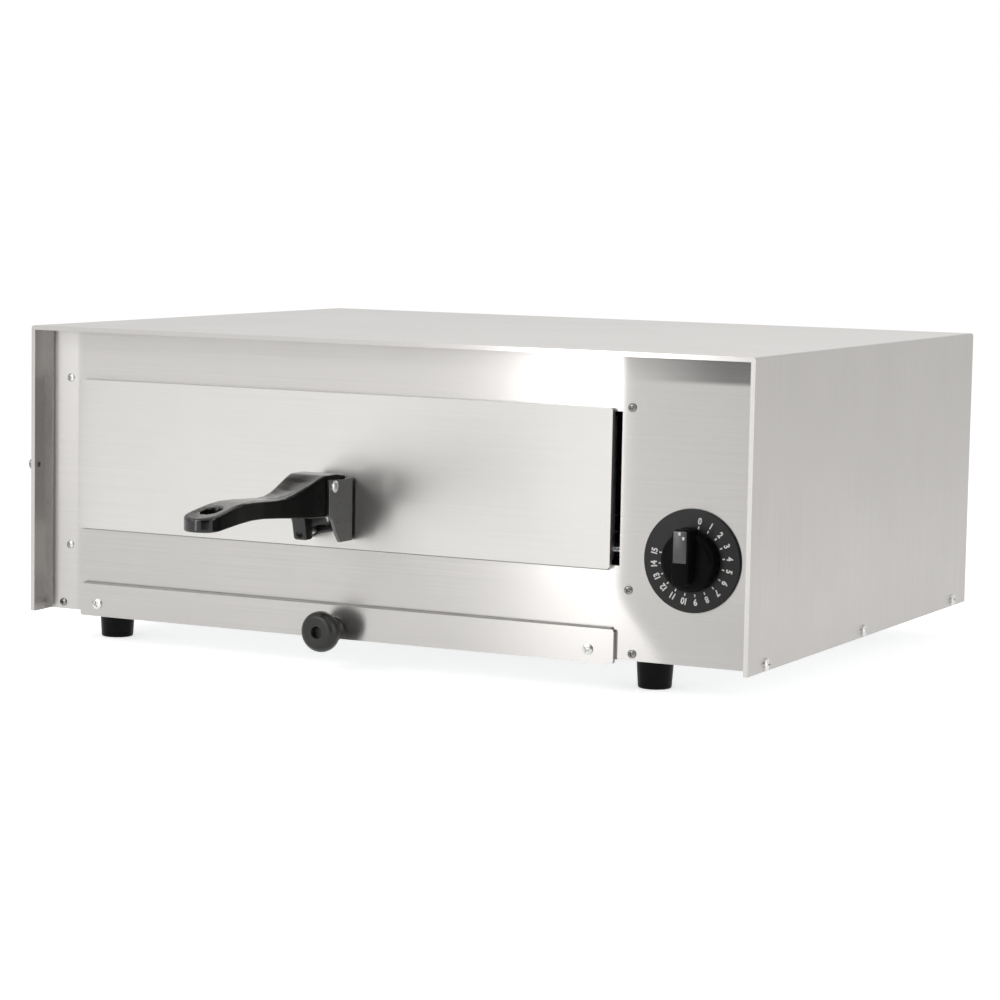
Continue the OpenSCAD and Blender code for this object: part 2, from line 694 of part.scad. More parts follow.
// Two leads that join the upper and the lower element's studs
module element_leads() color([0.75, 0.72, 0.66]) cab() for (i = [0, 3]) {
    y = panel_y + element_y + i * element_pitch;
    lead([[stud_end_x, y, upper_element_z], [lead_out_x, y, upper_element_z],
        [lead_out_x, y, lower_element_z], [stud_end_x, y, lower_element_z]]);
}

// The leads from the terminal block through the timer and the cut-out to the elements
module supply_leads() color([0.15, 0.15, 0.16]) cab() {
    tab = timer_box[0] / 2 - 4;
    tx = timer_x - tab;
    y0 = timer_back + 16;
    cx = shield_x + shield_t + 15;
    end_gap = lead_d / 2 + hole_gap;
    near_y = panel_y + element_y;
    far_y = near_y + 3 * element_pitch;
    lead([[pole_x[0], block_y[0], lead_floor_z], [pole_x[0], block_y[0] - 10, lead_floor_z],
        [tx, block_y[0] - 10, lead_floor_z], [tx, y0, lead_floor_z], [tx, y0, timer_z - tab],
        [tx, timer_back, timer_z - tab]]);
    lead([[tx, timer_back, timer_z + tab], [tx, y0, timer_z + tab], [tx, y0, cutout_z],
        [cx + 16, y0, cutout_z], [cx + 16, cutout_y - 4, cutout_z], [cx, cutout_y - 4, cutout_z]]);
    lead([[cx, cutout_y + 4, cutout_z], [lead_out_x, cutout_y + 4, cutout_z],
        [lead_out_x, far_y - end_gap, cutout_z]]);
    lead([[lead_out_x + end_gap, near_y, timer_z], [pole_x[2], near_y, timer_z],
        [pole_x[2], near_y, lead_floor_z], [pole_x[2], block_y[0], lead_floor_z]]);
}

// ---- timer ---------------------------------------------------------------

// Clockwork timer with its mounting plate and the bush that holds the shaft
module timer_body() color([0.80, 0.78, 0.70]) cab() at_timer(0) difference() {
    union() {
        slab([-timer_plate[0] / 2, timer_plate[0] / 2], [panel_back, panel_back + timer_plate_t],
            [-timer_plate[1] / 2, timer_plate[1] / 2]);
        slab([-timer_box[0] / 2, timer_box[0] / 2], [panel_back + timer_plate_t, timer_back],
            [-timer_box[2] / 2, timer_box[2] / 2]);
        translate([0, panel_back, 0]) face_front() cylinder(d = 10, h = sheet + 1);
    }
    translate([0, shaft_end_y + slide_gap, 0]) face_front() cylinder(d = shaft_d + 2 * shaft_gap, h = 40);
    for (s = [-1, 1]) translate([s * timer_screw_x, panel_back, 0]) face_front() screw_hole(l = 16);
}

// The bell that rings when the time has run out
module timer_bell() color([0.78, 0.76, 0.70]) cab() at_timer(timer_back) face_rear() {
    rotate_extrude() polygon([[0, 4], [bell_r - 4, 4], [bell_r, bell_h], [bell_r - 0.8, bell_h],
        [bell_r - 4.6, 4.8], [0, 4.8]]);
    cylinder(d = 5, h = 4.4);
}

module timer_screws() color(zinc) cab() at_timer_screws(panel_y) face_front()
    screw(7, head_d = 5.6, head_h = 1.4);

// Fixed dial with pockets behind it for the timer's screws
module dial_plate() color(bakelite) cab() at_timer(0) difference() {
    run_y([dial_y, panel_y]) circle(d = dial_d, $fn = 96);
    translate([0, panel_y, 0]) face_front() cylinder(d = 10.4, h = 10, center = true);
    for (s = [-1, 1]) translate([s * timer_screw_x, panel_y, 0]) face_front()
        cylinder(d = 6.4, h = 2 * (dial_t - 0.4), center = true);
}

// The turning shaft, with a flat for the knob
module timer_shaft() color(zinc) cab() at_timer(0) difference() {
    translate([0, shaft_end_y, 0]) face_front() cylinder(d = shaft_d, h = shaft_end_y - knob_face - 5);
    slab([-shaft_d, shaft_d], [knob_face, knob_back_y], [shaft_d / 2 - 1, shaft_d]);
}

// Round knob with a bar grip whose nose points at the numbers
module timer_knob() color(bakelite) cab() at_timer(0) difference() {
    union() {
        translate([0, knob_back_y, 0]) face_front() rotate_extrude() polygon([[0, 0], [knob_d / 2, 0],
            [knob_d / 2, 3], [knob_d / 2 - 1, 5.5], [knob_d / 2 - 3, 7.4], [0, 8.6]]);
        run_y([knob_face, knob_back_y - 3]) {
            translate([-grip_w / 2, -grip_tail]) square([grip_w, grip_tail + pointer_l - 3]);
            translate([1.5 - grip_w / 2, pointer_l - 4]) square([grip_w - 3, 4]);
            for (s = [-1, 1]) translate([s * (grip_w / 2 - 3), pointer_l - 3]) circle(3);
            translate([0, -grip_tail]) circle(d = grip_w);
        }
    }
    translate([0, knob_back_y + 1, 0]) face_front() intersection() {
        cylinder(d = shaft_d + 2 * shaft_gap, h = knob_back_y + 1 - knob_face - 4.8);
        translate([-10, -20, 0]) cube([20, 20 + shaft_d / 2 - 1 + shaft_gap, 40]);
    }
    slab(insert_x, [knob_face - 1, knob_face + insert_t], insert_z);
}

// The satin inlay on the pointing half of the grip
module knob_insert() color([0.35, 0.35, 0.35]) cab() at_timer(0)
    slab(insert_x, [knob_face, knob_face + insert_t], insert_z);

// ---- door and rack -------------------------------------------------------

// The door's outer skin, with its edges turned back to the panel
module door_panel() color(stainless) cab() difference() {
    pan_y([door_x - door_w / 2, door_x + door_w / 2], [door_y, panel_y - slide_gap], door_z, sheet, door_r);
    at_bracket_screws(door_y) face_front() screw_hole(bolt_d);
    translate([handle_x, door_y, lug_screw_z]) face_front() screw_hole(bolt_d);
}

// The pan behind the skin that closes the opening
module door_inner_pan() color(aluminised) cab() difference() {
    slab(pan_x, [door_back, pan_back], pan_z);
    slab([pan_x[0] + liner_t, pan_x[1] - liner_t], [door_back - 1, pan_back - liner_t],
        [pan_z[0] + liner_t, pan_z[1] - liner_t]);
    at_clip_screws(pan_back) face_front() screw_hole();
}

// The wire rack that carries the pizza and runs in the guides
module wire_rack() color(zinc) cab() translate([chamber_x, 0, rack_z]) {
    y1 = rack_y0 + rack_l;
    for (s = [-1, 1]) translate([s * rail_x, rack_y0, 0]) {
        rotate([-90, 0, 0]) cylinder(d = rail_d, h = rack_l);
        for (y = [0, rack_l]) translate([0, y, 0]) sphere(d = rail_d);
    }
    for (y = [rack_y0, y1]) translate([-rail_x, y, 0]) face_side(1) cylinder(d = rail_d, h = 2 * rail_x);
    for (i = [1 : cross_bars])
        translate([-rail_x, rack_y0 + i * rack_l / (cross_bars + 1), (rail_d - cross_d) / 2])
            face_side(1) cylinder(d = cross_d, h = 2 * rail_x);
    for (i = [0 : grid_count - 1])
        translate([i * grid_pitch - grid_half, rack_y0, (rail_d + grid_d) / 2 - weld])
        rotate([-90, 0, 0]) cylinder(d = grid_d, h = rack_l);
}

// Saddle clips that hold the rack's front bar to the door's pan
module rack_clips() color(zinc) cab() difference() {
    for (s = [-1, 1]) translate([chamber_x + s * clip_x - clip_w / 2, 0, rack_z]) {
        intersection() {
            translate([0, rack_y0, 0]) face_side(1) cylinder(d = rail_d + 2.4, h = clip_w);
            slab([0, clip_w], [pan_back, pan_back + 20], [-20, 20]);
        }
        slab([0, clip_w], [pan_back, pan_back + 1.2], [rail_d / 2, clip_screw_rise + 3]);
    }
    translate([open_x[0], rack_y0, rack_z]) face_side(1) cylinder(d = rail_d + 2 * hole_gap, h = opening_w);
    at_clip_screws(pan_back) face_front() screw_hole();
}

module rack_clip_screws() color(zinc) cab() at_clip_screws(pan_back + 1.2) face_rear()
    screw(5, head_d = 5, head_h = 1.6);

// ---- handle --------------------------------------------------------------

// A point of the handle's side view
function side_point(p) = [-p[0] * reach_k, handle_z + p[1] * rise_k];

// The moulded handle: its side view and its top view cut from one block, with a post below
module handle() color(bakelite) cab() translate([handle_x, 0, 0]) difference() {
    union() {
        intersection() {
            rotate([90, 0, 90]) linear_extrude(4 * handle_half_w, center = true) polygon(concat(
                [[tongue_end, handle_z], [tongue_end, handle_top - 2], [0.5, handle_top]],
                [for (p = handle_top_line) side_point(p)], [for (p = handle_low_line) side_point(p)]));
            linear_extrude(cut_l) {
                polygon(concat([[-handle_half_w, tongue_end]], [for (p = plan_line) [-p[0], p[1]]],
                    [for (i = [len(plan_line) - 1 : -1 : 0]) plan_line[i]], [[handle_half_w, tongue_end]]));
                translate([0, loop_half_w - handle_reach]) circle(loop_half_w);
                translate([-loop_half_w, loop_half_w - handle_reach])
                    square([2 * loop_half_w, handle_reach - loop_half_w + plan_line[7][1]]);
            }
        }
        rotate([90, 0, 90]) linear_extrude(2 * lug_half_w, center = true) polygon([
            [lug_y[0], handle_z + 3], [lug_y[1], handle_z + 3],
            [lug_y[1], handle_z - lug_drop], [lug_y[0] + lug_taper, handle_z - lug_drop]]);
    }
    translate([0, loop_slot_y, 0]) linear_extrude(cut_l) {
        square([loop_slot_w, loop_slot_l - loop_slot_w], center = true);
        for (s = [-1, 1]) translate([0, s * (loop_slot_l - loop_slot_w) / 2]) circle(d = loop_slot_w);
    }
    translate([0, pivot_y, pivot_z]) face_side(1) screw_hole(bolt_d, cut_l);
    translate([0, 0, lug_screw_z]) face_front() screw_hole(bolt_d, 80);
    translate([0, lug_seat_y, lug_screw_z]) face_front() cylinder(d = 8.4, h = 10);
}

// Bent steel bracket between the door and the handle
module handle_bracket() color([0.55, 0.55, 0.54]) cab() translate([handle_x, 0, 0]) difference() {
    w = ear_in + bracket_t;
    union() {
        slab([-w, w], [web_y, door_y], bracket_z);
        for (x = [-w, ear_in]) translate([x, 0, 0]) rotate([90, 0, 90]) linear_extrude(bracket_t)
            polygon([[-13, bracket_z[1] + 0.4], [-12.5, handle_z + 0.8], [-8.3, handle_z - 1.8],
                [-3.4, lug_screw_z - 1.2], [1, bracket_z[0]], [door_y, bracket_z[0]],
                [door_y, bracket_z[1]], [5.3, bracket_z[1] - 0.4]]);
    }
    translate([0, pivot_y, pivot_z]) face_side(1) screw_hole(bolt_d, cut_l);
    translate([-handle_x, 0, 0]) at_bracket_screws(web_y) face_front() screw_hole(bolt_d);
    translate([0, web_y, lug_screw_z]) face_front() screw_hole(bolt_d);
}

module bracket_screws() color(zinc) cab() {
    at_bracket_screws(web_y) face_front() screw(bracket_t + sheet + nut_h + 1, bolt_d, 7.4, 2.4);
    at_bracket_screws(door_back) face_rear() nut();
}

// Bolt across the bracket's ears and the handle's root
module handle_pivot_bolt() color(zinc) cab() translate([handle_x, pivot_y, pivot_z]) {
    w = ear_in + bracket_t;
    translate([w, 0, 0]) face_side(1) screw(2 * w + nut_h + 0.6, bolt_d, 7, 2.2);
    translate([-w, 0, 0]) face_side(-1) nut();
}

// Long screw from the handle's post through the sleeve and the bracket to the door
module handle_lug_screw() color(zinc) cab() translate([handle_x, 0, lug_screw_z]) {
    translate([0, lug_seat_y, 0]) face_front()
        screw(door_back + nut_h + 1 - lug_seat_y, bolt_d, 7.4, 2.4);
    translate([0, door_back, 0]) face_rear() nut();
}

module lug_sleeve() color(bakelite) cab() translate([handle_x, 0, lug_screw_z]) difference() {
    translate([0, web_y, 0]) face_front() cylinder(d = bolt_d + 1.6, h = web_y - sleeve_y);
    translate([0, web_y + 1, 0]) face_front() cylinder(d = bolt_d + 2 * hole_gap, h = web_y - sleeve_y + 2);
}

// ---- crumb tray ----------------------------------------------------------

// Open pan that catches the crumbs under the lower element
module crumb_tray() color(aluminised) cab() difference() {
    slab(tray_x, [tray_y, tray_y + tray_l], [tray_z, tray_z + tray_h]);
    slab([tray_x[0] + liner_t, tray_x[1] - liner_t], [tray_y + liner_t, tray_y + tray_l - liner_t],
        [tray_z + liner_t, tray_z + tray_h + 1]);
    at_tray_screws(tray_y) face_front() screw_hole();
    translate([chamber_x, tray_y, tray_knob_z]) face_front() screw_hole(bolt_d, 6);
}

// Stainless plate that closes the tray's slot, with its edges turned back
module tray_front() color(stainless) cab() difference() {
    pan_y(tray_front_x, [panel_y - tray_proud, panel_y - slide_gap], tray_front_z, sheet, 1.6);
    at_tray_screws(tray_y) face_front() screw_hole();
    translate([chamber_x, tray_y, tray_knob_z]) face_front() screw_hole(bolt_d, 6);
}

module tray_front_screws() color(zinc) cab() at_tray_screws(panel_y - tray_proud) face_front()
    screw(5, head_d = 6.4, head_h = 1.8);

// Waisted knob with a recess for its bolt, which is tapped into the tray's front
module tray_knob() color(bakelite) cab() translate([chamber_x, knob_seat_y, tray_knob_z]) face_front()
    difference() {
        r = tray_knob_d / 2;
        l = tray_knob_l;
        rotate_extrude() polygon([[0, 0], [r * 0.62, 0], [r * 0.62, 1.5], [r * 0.5, 3.5],
            [r * 0.48, l * 0.38], [r * 0.62, l * 0.56], [r * 0.94, l * 0.66], [r, l * 0.72], [r, l * 0.8],
            [r * 0.93, l * 0.9], [r * 0.76, l], [0, l]]);
        translate([0, 0, -1]) cylinder(d = bolt_d + 2 * hole_gap, h = l + 2);
        translate([0, 0, l - 5]) cylinder(d = 7, h = 6);
    }

module tray_knob_bolt() color(zinc) cab()
    translate([chamber_x, knob_seat_y + 5 - tray_knob_l, tray_knob_z]) face_front()
        screw(tray_knob_l - 5 + sheet + liner_t + 1.2, bolt_d, 6.6, 2);

outer_cover();
cover_side_screws();
cover_edge_screw();
front_panel();
front_panel_screws();
rear_panel();
rear_panel_screws();
base_pan();
foot_front_left();
foot_front_right();
foot_rear_left();
foot_rear_right();
foot_screws();
chamber_liner();
chamber_rear_wall();
rack_guide_left();
rack_guide_right();
tray_guide_left();
tray_guide_right();
upper_element();
lower_element();
element_clips();
element_insulators();
element_studs();
insulation_blanket();
heat_shield();
thermal_cutout();
cutout_screws();
terminal_block();
terminal_block_screws();
earth_stud();
cord_bushing();
element_leads();
supply_leads();
timer_body();
timer_bell();
timer_screws();
dial_plate();
timer_shaft();
timer_knob();
knob_insert();
door_panel();
door_inner_pan();
wire_rack();
rack_clips();
rack_clip_screws();
handle_bracket();
bracket_screws();
handle();
handle_pivot_bolt();
handle_lug_screw();
lug_sleeve();
crumb_tray();
tray_front();
tray_front_screws();
tray_knob();
tray_knob_bolt();
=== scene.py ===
# %% [markdown]
# # A countertop pizza oven in brushed stainless sheet
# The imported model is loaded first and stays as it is: it says where every piece
# sits and what it moves with. This lesson then gives each piece its finish and
# works out the pieces whose form a plain solid can't carry, such as the moulded
# handle. All lengths in the tables below are millimetres in the cabinet's own
# frame, with x across, y backwards from the cover's front edge and z up from the
# cabinet's floor, and `row` turns them into the model's metres.

# %% Load the model
import json
from math import cos, pi, radians, sin

import bmesh
import bpy
import numpy as np
from mathutils import Matrix, Vector


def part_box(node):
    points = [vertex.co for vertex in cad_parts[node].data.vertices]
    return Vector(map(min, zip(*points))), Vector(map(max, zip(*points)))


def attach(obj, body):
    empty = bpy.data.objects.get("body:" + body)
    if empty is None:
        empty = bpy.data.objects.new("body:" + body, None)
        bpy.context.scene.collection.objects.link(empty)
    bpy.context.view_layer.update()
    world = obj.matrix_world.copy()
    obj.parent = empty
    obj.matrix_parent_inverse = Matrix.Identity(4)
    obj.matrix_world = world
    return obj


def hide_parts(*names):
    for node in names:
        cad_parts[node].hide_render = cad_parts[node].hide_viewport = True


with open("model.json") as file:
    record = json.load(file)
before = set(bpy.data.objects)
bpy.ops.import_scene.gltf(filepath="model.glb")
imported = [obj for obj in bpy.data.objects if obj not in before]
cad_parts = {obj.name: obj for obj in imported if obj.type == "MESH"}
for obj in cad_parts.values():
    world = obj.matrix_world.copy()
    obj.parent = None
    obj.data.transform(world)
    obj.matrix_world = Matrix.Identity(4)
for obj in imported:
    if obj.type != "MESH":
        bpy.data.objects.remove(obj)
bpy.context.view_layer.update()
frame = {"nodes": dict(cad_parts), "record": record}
bodies = frame["record"]["behaviour"]["bodies"]
body_of = {node: body for body, nodes in bodies.items() for node in nodes}
slot_of = {part["node"]: part["material_slot"] for part in frame["record"]["subparts"]}

# %% From the cabinet's millimetres to the model's metres
CABINET = np.array([0.0, -120.5, 21.0])
HANDLE_X = -34.5  # the handle's middle plane


def row(points):
    """Add the cabinet's place in the model to each point, then divide by 1000."""
    return (np.asarray(points, float) + CABINET) / 1000


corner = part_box("outer_cover")
print("cover's corner by the table and by the model:", row([-239.5, 0, 0]), corner[0])

# %% [markdown]
# ## The camera
# The photograph was taken from the right of the oven and a little above it, with a
# long lens, so that its edges hardly run together. The place, the angles and the
# lens come from matching the cover's corners. A camera looks along its own -Z, so
# its matrix is built from three directions: right, up and back.

# %% Camera
TURN, RISE, ROLL = radians(26.5569), radians(5.8286), radians(1.0626)
back = Vector((sin(TURN) * cos(RISE), -cos(TURN) * cos(RISE), sin(RISE)))
right = Vector((cos(TURN), sin(TURN), 0))
up = back.cross(right)
rolled_right = cos(ROLL) * right + sin(ROLL) * up
rolled_up = cos(ROLL) * up - sin(ROLL) * right

lens = bpy.data.cameras.new("camera")
lens.lens, lens.sensor_width, lens.sensor_height = 112.47, 36, 36
lens.clip_end = 50
camera = bpy.data.objects.new("camera", lens)
turned = Matrix((rolled_right, rolled_up, back)).transposed().to_4x4()
turned.translation = (0.87907, -1.70979, 0.29145)
camera.matrix_world = turned
bpy.context.scene.collection.objects.link(camera)
bpy.context.scene.camera = camera
bpy.context.scene.view_settings.view_transform = "Standard"
print("camera at", tuple(camera.location))

# %% [markdown]
# ## Studio
# Brushed steel looks like whatever stands round it, so the studio matters as much
# as the steel. A pale world gives the steel its light grey. A narrow tall softbox in
# front on the left makes the bright upright band on the panel, a wide one above it
# lights the whole front, one beside the oven draws the edge lines on the black
# handle, and one overhead lights the top. A black card in front on the right gives
# the steel something dark to mirror. The floor's own light is only seen by the
# camera and by reflections; the lamps still cast a shadow on it.

# %% Helpers for node materials
def fresh_nodes(owner):
    """Turn nodes on, empty the tree and return it."""
    owner.use_nodes = True
    owner.node_tree.nodes.clear()
    return owner.node_tree


def node(tree, kind, settings=None, **inputs):
    """Add a node, set its properties, then set or link each input by its name or, as in
    i0, by its number."""
    made = tree.nodes.new("ShaderNode" + kind)
    for key, value in (settings or {}).items():
        setattr(made, key, value)
    for key, value in inputs.items():
        numbered = key[0] == "i" and key[1:].isdigit()
        socket = made.inputs[int(key[1:]) if numbered else key.replace("_", " ")]
        if isinstance(value, bpy.types.NodeSocket):
            tree.links.new(value, socket)
        else:
            socket.default_value = value
    return made


def calc(tree, operation, *values):
    """The result of one Math node."""
    inputs = {f"i{i}": value for i, value in enumerate(values)}
    return node(tree, "Math", {"operation": operation}, **inputs).outputs[0]


def ramp(tree, value, start, end, low, high, smooth=False):
    """From low at start to high at end, straight or smooth, and level outside them."""
    settings = {"interpolation_type": "SMOOTHSTEP" if smooth else "LINEAR"}
    return node(tree, "MapRange", settings, Value=value, From_Min=start, From_Max=end,
                To_Min=low, To_Max=high).outputs[0]


def tinted(tree, colour, share):
    """The colour times a share that varies over the surface."""
    settings = {"data_type": "RGBA", "blend_type": "MULTIPLY"}
    return node(tree, "Mix", settings, Factor=1.0, i6=(*colour, 1), i7=share).outputs[2]


# %% World
def seen_directly(tree):
    """One for camera, glossy and transmission rays, nought for the rest."""
    path = node(tree, "LightPath").outputs
    two = calc(tree, "MAXIMUM", path["Is Camera Ray"], path["Is Glossy Ray"])
    return calc(tree, "MAXIMUM", two, path["Is Transmission Ray"])


world = bpy.data.worlds.new("white surround")
bpy.context.scene.world = world
tree = fresh_nodes(world)
room = node(tree, "Background", Color=(1, 0.99, 0.975, 1), Strength=0.52)
white = node(tree, "Background", Color=(1, 1, 1, 1), Strength=1.0)
mixed = node(tree, "MixShader", Fac=seen_directly(tree), i1=room.outputs[0], i2=white.outputs[0])
node(tree, "OutputWorld", Surface=mixed.outputs[0])
print("world ready")

# %% Floor
floor_mesh = bpy.data.meshes.new("floor")
floor_mesh.from_pydata([(-8, -8, 0), (8, -8, 0), (8, 8, 0), (-8, 8, 0)], [], [(0, 1, 2, 3)])
floor = bpy.data.objects.new("floor", floor_mesh)
bpy.context.scene.collection.objects.link(floor)
paper = bpy.data.materials.new("paper floor")
tree = fresh_nodes(paper)
lit = node(tree, "BsdfDiffuse", Color=(0.8, 0.8, 0.8, 1))
glow = node(tree, "Emission", Color=(1, 1, 1, 1), Strength=0.6)
dark = node(tree, "Emission", Strength=0.0)
shown = node(tree, "MixShader", Fac=seen_directly(tree), i1=dark.outputs[0], i2=glow.outputs[0])
added = node(tree, "AddShader", i0=lit.outputs[0], i1=shown.outputs[0])
node(tree, "OutputMaterial", Surface=added.outputs[0])
floor_mesh.materials.append(paper)
print("floor ready")


# %% Softboxes
def softbox(name, place, aim, width, height, power):
    """A rectangular lamp at place whose face looks at aim; metres and watts."""
    lamp = bpy.data.lights.new(name, "AREA")
    lamp.shape, lamp.size, lamp.size_y, lamp.energy = "RECTANGLE", width, height, power
    made = bpy.data.objects.new(name, lamp)
    looking = Vector(aim) - Vector(place)
    made.matrix_world = looking.to_track_quat("-Z", "Y").to_matrix().to_4x4()
    made.location = place
    made.visible_camera = False
    bpy.context.scene.collection.objects.link(made)


softbox("front left strip", (-0.24, -0.95, 0.50), (0.02, -0.1, 0.50), 0.1, 1.0, 1.9)
softbox("side strip", (1.35, -0.30, 0.60), (0, -0.15, 0.60), 0.30, 1.2, 3.5)
softbox("front high", (-0.70, -1.45, 0.95), (-0.08, -0.12, 0.1), 1.6, 0.35, 6.5)
softbox("overhead", (-0.2, 0.2, 2.0), (0, 0, 0), 1.8, 1.8, 10.5)

# %% A black flag card in front on the right
card_mesh = bpy.data.meshes.new("black card")
CARD = [(0.14, -0.93, 0), (0.85, -0.75, 0), (0.85, -0.75, 0.45), (0.14, -0.93, 0.45)]
card_mesh.from_pydata(CARD, [], [(0, 1, 2, 3)])
card = bpy.data.objects.new("black card", card_mesh)
bpy.context.scene.collection.objects.link(card)
velvet = bpy.data.materials.new("black velvet")
tree = fresh_nodes(velvet)
cloth = node(tree, "BsdfDiffuse", Color=(0.01, 0.01, 0.01, 1))
node(tree, "OutputMaterial", Surface=cloth.outputs[0])
card_mesh.materials.append(velvet)
card.visible_camera = card.visible_diffuse = card.visible_shadow = False

# %% [markdown]
# ## Brushed stainless
# The sheet is ground with a belt, which leaves fine lines along one direction. They
# blur reflections across the lines far more than along them, so a softbox becomes
# a tall band on the front. The shader's anisotropy does that, and it needs a UV map
# to know the lines' direction: U runs across the lines and V along them. The same map
# carries the streaks. Broad, faint clouds stand for the sheet's uneven grind, and a
# very shallow wave for the way thin sheet never lies quite flat.
#
# A real sheet is also bent a little on purpose and by use, which shows at once in
# what it mirrors. Those few slopes are added to the bump's height in metres, so that
# a slope of 0.1 turns the surface by about six degrees.


# %% Brushed sheet
STREAK, CLOUD = 0.05, 0.05  # how much each noise varies the tone
ANISOTROPY = 0.8
BUMP_WAVE, BUMP_STREAK = 0.004, 0.0001  # metres
# On the front panel, in the model's metres:
# Painted shade on the front panel: the tone steps down at the control panel, falls towards the
# bottom between these heights, and under the lip more painted shade grows to the right.
PAINTED_PANEL_SHADE_X, PAINTED_SHADE_Z = (0.150, 0.154), (0.06, 0.17)  # its tone steps down in x and changes in z
LIP_X, LIP_Z = (0.146, 0.222), (0.1795, 0.183)  # the shade under the lip grows, and starts
CORNER_Z, CORNER_X = (0.008, 0.066), (0.186, 0.152)  # heights, and the kink's start at each
LEFT_X = -0.2165  # left of this it turns towards the wall


def brushed(name, colour, rough, wave=0.35, tilt=0.0, kink=0.0, left=0.0, painted_panel_shade=1.0, lip=0.0):
    """Colour and roughness are a mean plus a share of two noises: long streaks on the
    UV map and soft clouds on the object. Height is the streaks plus a slow wave, plus
    tilt * x, kink * max(0, x - start), where start follows CORNER_X by height, and
    left * max(0, LEFT_X - x). Painted shade holds the tone down on the control panel
    and towards the bottom, and once more by lip above LIP_Z, where the painted shade
    under the lip grows towards the right."""
    made = bpy.data.materials.new(name)
    tree = fresh_nodes(made)
    uv = node(tree, "UVMap", {"uv_map": "grain"}).outputs[0]
    lines = node(tree, "Mapping", Vector=uv, Scale=(900, 7, 1)).outputs[0]
    streaks = node(tree, "TexNoise", Vector=lines, Scale=1.0, Detail=3.0, Roughness=0.6).outputs[0]
    here = node(tree, "TexCoord").outputs["Object"]
    clouds = node(tree, "TexNoise", Vector=here, Scale=14.0, Detail=4.0, Roughness=0.62).outputs[0]
    slow = node(tree, "TexNoise", Vector=here, Scale=3.2, Detail=1.0).outputs[0]
    side, _, level = node(tree, "SeparateXYZ", Vector=here).outputs

    both = calc(tree, "MULTIPLY_ADD", streaks, STREAK * 2, 1 - STREAK - CLOUD)
    both = calc(tree, "MULTIPLY_ADD", clouds, CLOUD * 2, both)
    gloss = ramp(tree, both, 1 - STREAK - CLOUD, 1 + STREAK + CLOUD, rough + 0.07, rough - 0.07)
    share = both
    if painted_panel_shade < 1:
        # Painted shade: the control panel is held darker by an amount that changes with height, the
        # front falls darker towards the bottom, and the lip's painted shade grows to the right.
        panel_shade_by_height = ramp(tree, level, *PAINTED_SHADE_Z, painted_panel_shade + 0.05, painted_panel_shade - 0.07)
        panel = ramp(tree, side, *PAINTED_PANEL_SHADE_X, 1.0, panel_shade_by_height)
        front = ramp(tree, level, *PAINTED_SHADE_Z, 0.9, 1.04)
        lip_shade_growth = ramp(tree, side, *LIP_X, 0.0, -lip, smooth=True)
        above = ramp(tree, level, *LIP_Z, 0.0, 1.0, smooth=True)
        painted_lip_shade = calc(tree, "MULTIPLY_ADD", lip_shade_growth, above, 1.0)
        for part in (panel, front, painted_lip_shade):
            share = calc(tree, "MULTIPLY", share, part)

    bent = calc(tree, "MULTIPLY", side, tilt)
    if kink:
        start = ramp(tree, level, *CORNER_Z, *CORNER_X, smooth=True)
        beyond = calc(tree, "SMOOTH_MAX", calc(tree, "SUBTRACT", side, start), 0.0, 0.012)
        bent = calc(tree, "MULTIPLY_ADD", beyond, kink, bent)
    if left:
        short = calc(tree, "SMOOTH_MAX", calc(tree, "SUBTRACT", LEFT_X, side), 0.0, 0.003)
        bent = calc(tree, "MULTIPLY_ADD", short, left, bent)
    turned = node(tree, "Bump", Strength=1.0, Distance=1.0, Height=bent).outputs[0]
    waved = node(tree, "Bump", Strength=wave, Distance=BUMP_WAVE, Height=slow,
                 Normal=turned).outputs[0]
    fine = node(tree, "Bump", Strength=0.08, Distance=BUMP_STREAK, Height=streaks,
                Normal=waved).outputs[0]
    tangent = node(tree, "Tangent", {"direction_type": "UV_MAP", "uv_map": "grain"}).outputs[0]
    shader = node(tree, "BsdfPrincipled", Base_Color=tinted(tree, colour, share), Metallic=1.0,
                  Roughness=gloss, Anisotropic=ANISOTROPY, Normal=fine, Tangent=tangent)
    node(tree, "OutputMaterial", Surface=shader.outputs[0])
    return made


stainless = brushed("brushed stainless", (0.475, 0.461, 0.447), 0.34)
lit_hem_steel = brushed("brushed hem", (0.50, 0.488, 0.475), 0.24)
# The front sheet carries painted shade on the control panel, towards the bottom and under the lip.
front_steel_painted_shade = brushed("brushed front sheet", (0.50, 0.488, 0.475), 0.24,
                      kink=-0.09, left=0.215, painted_panel_shade=0.9, lip=0.6)
tray_steel = brushed("brushed tray front", (0.46, 0.449, 0.437), 0.24)
door_steel = brushed("satin door sheet", (0.60, 0.592, 0.575), 0.30, wave=0.2, tilt=0.125)
OWN = {"front_panel": front_steel_painted_shade, "tray_front": tray_steel, "door_panel": door_steel}
print("made", stainless.name)

# %% [markdown]
# ## The other finishes
# The hidden steel is either aluminised or zinc plated, with a faint spangle. Plastics
# are dark with a fine moulding texture, the dial is printed matt black, and the
# insulation is a pale felt. One helper makes them all: a base colour that a noise
# varies, a roughness that the same noise varies, and a bump of its own scale.


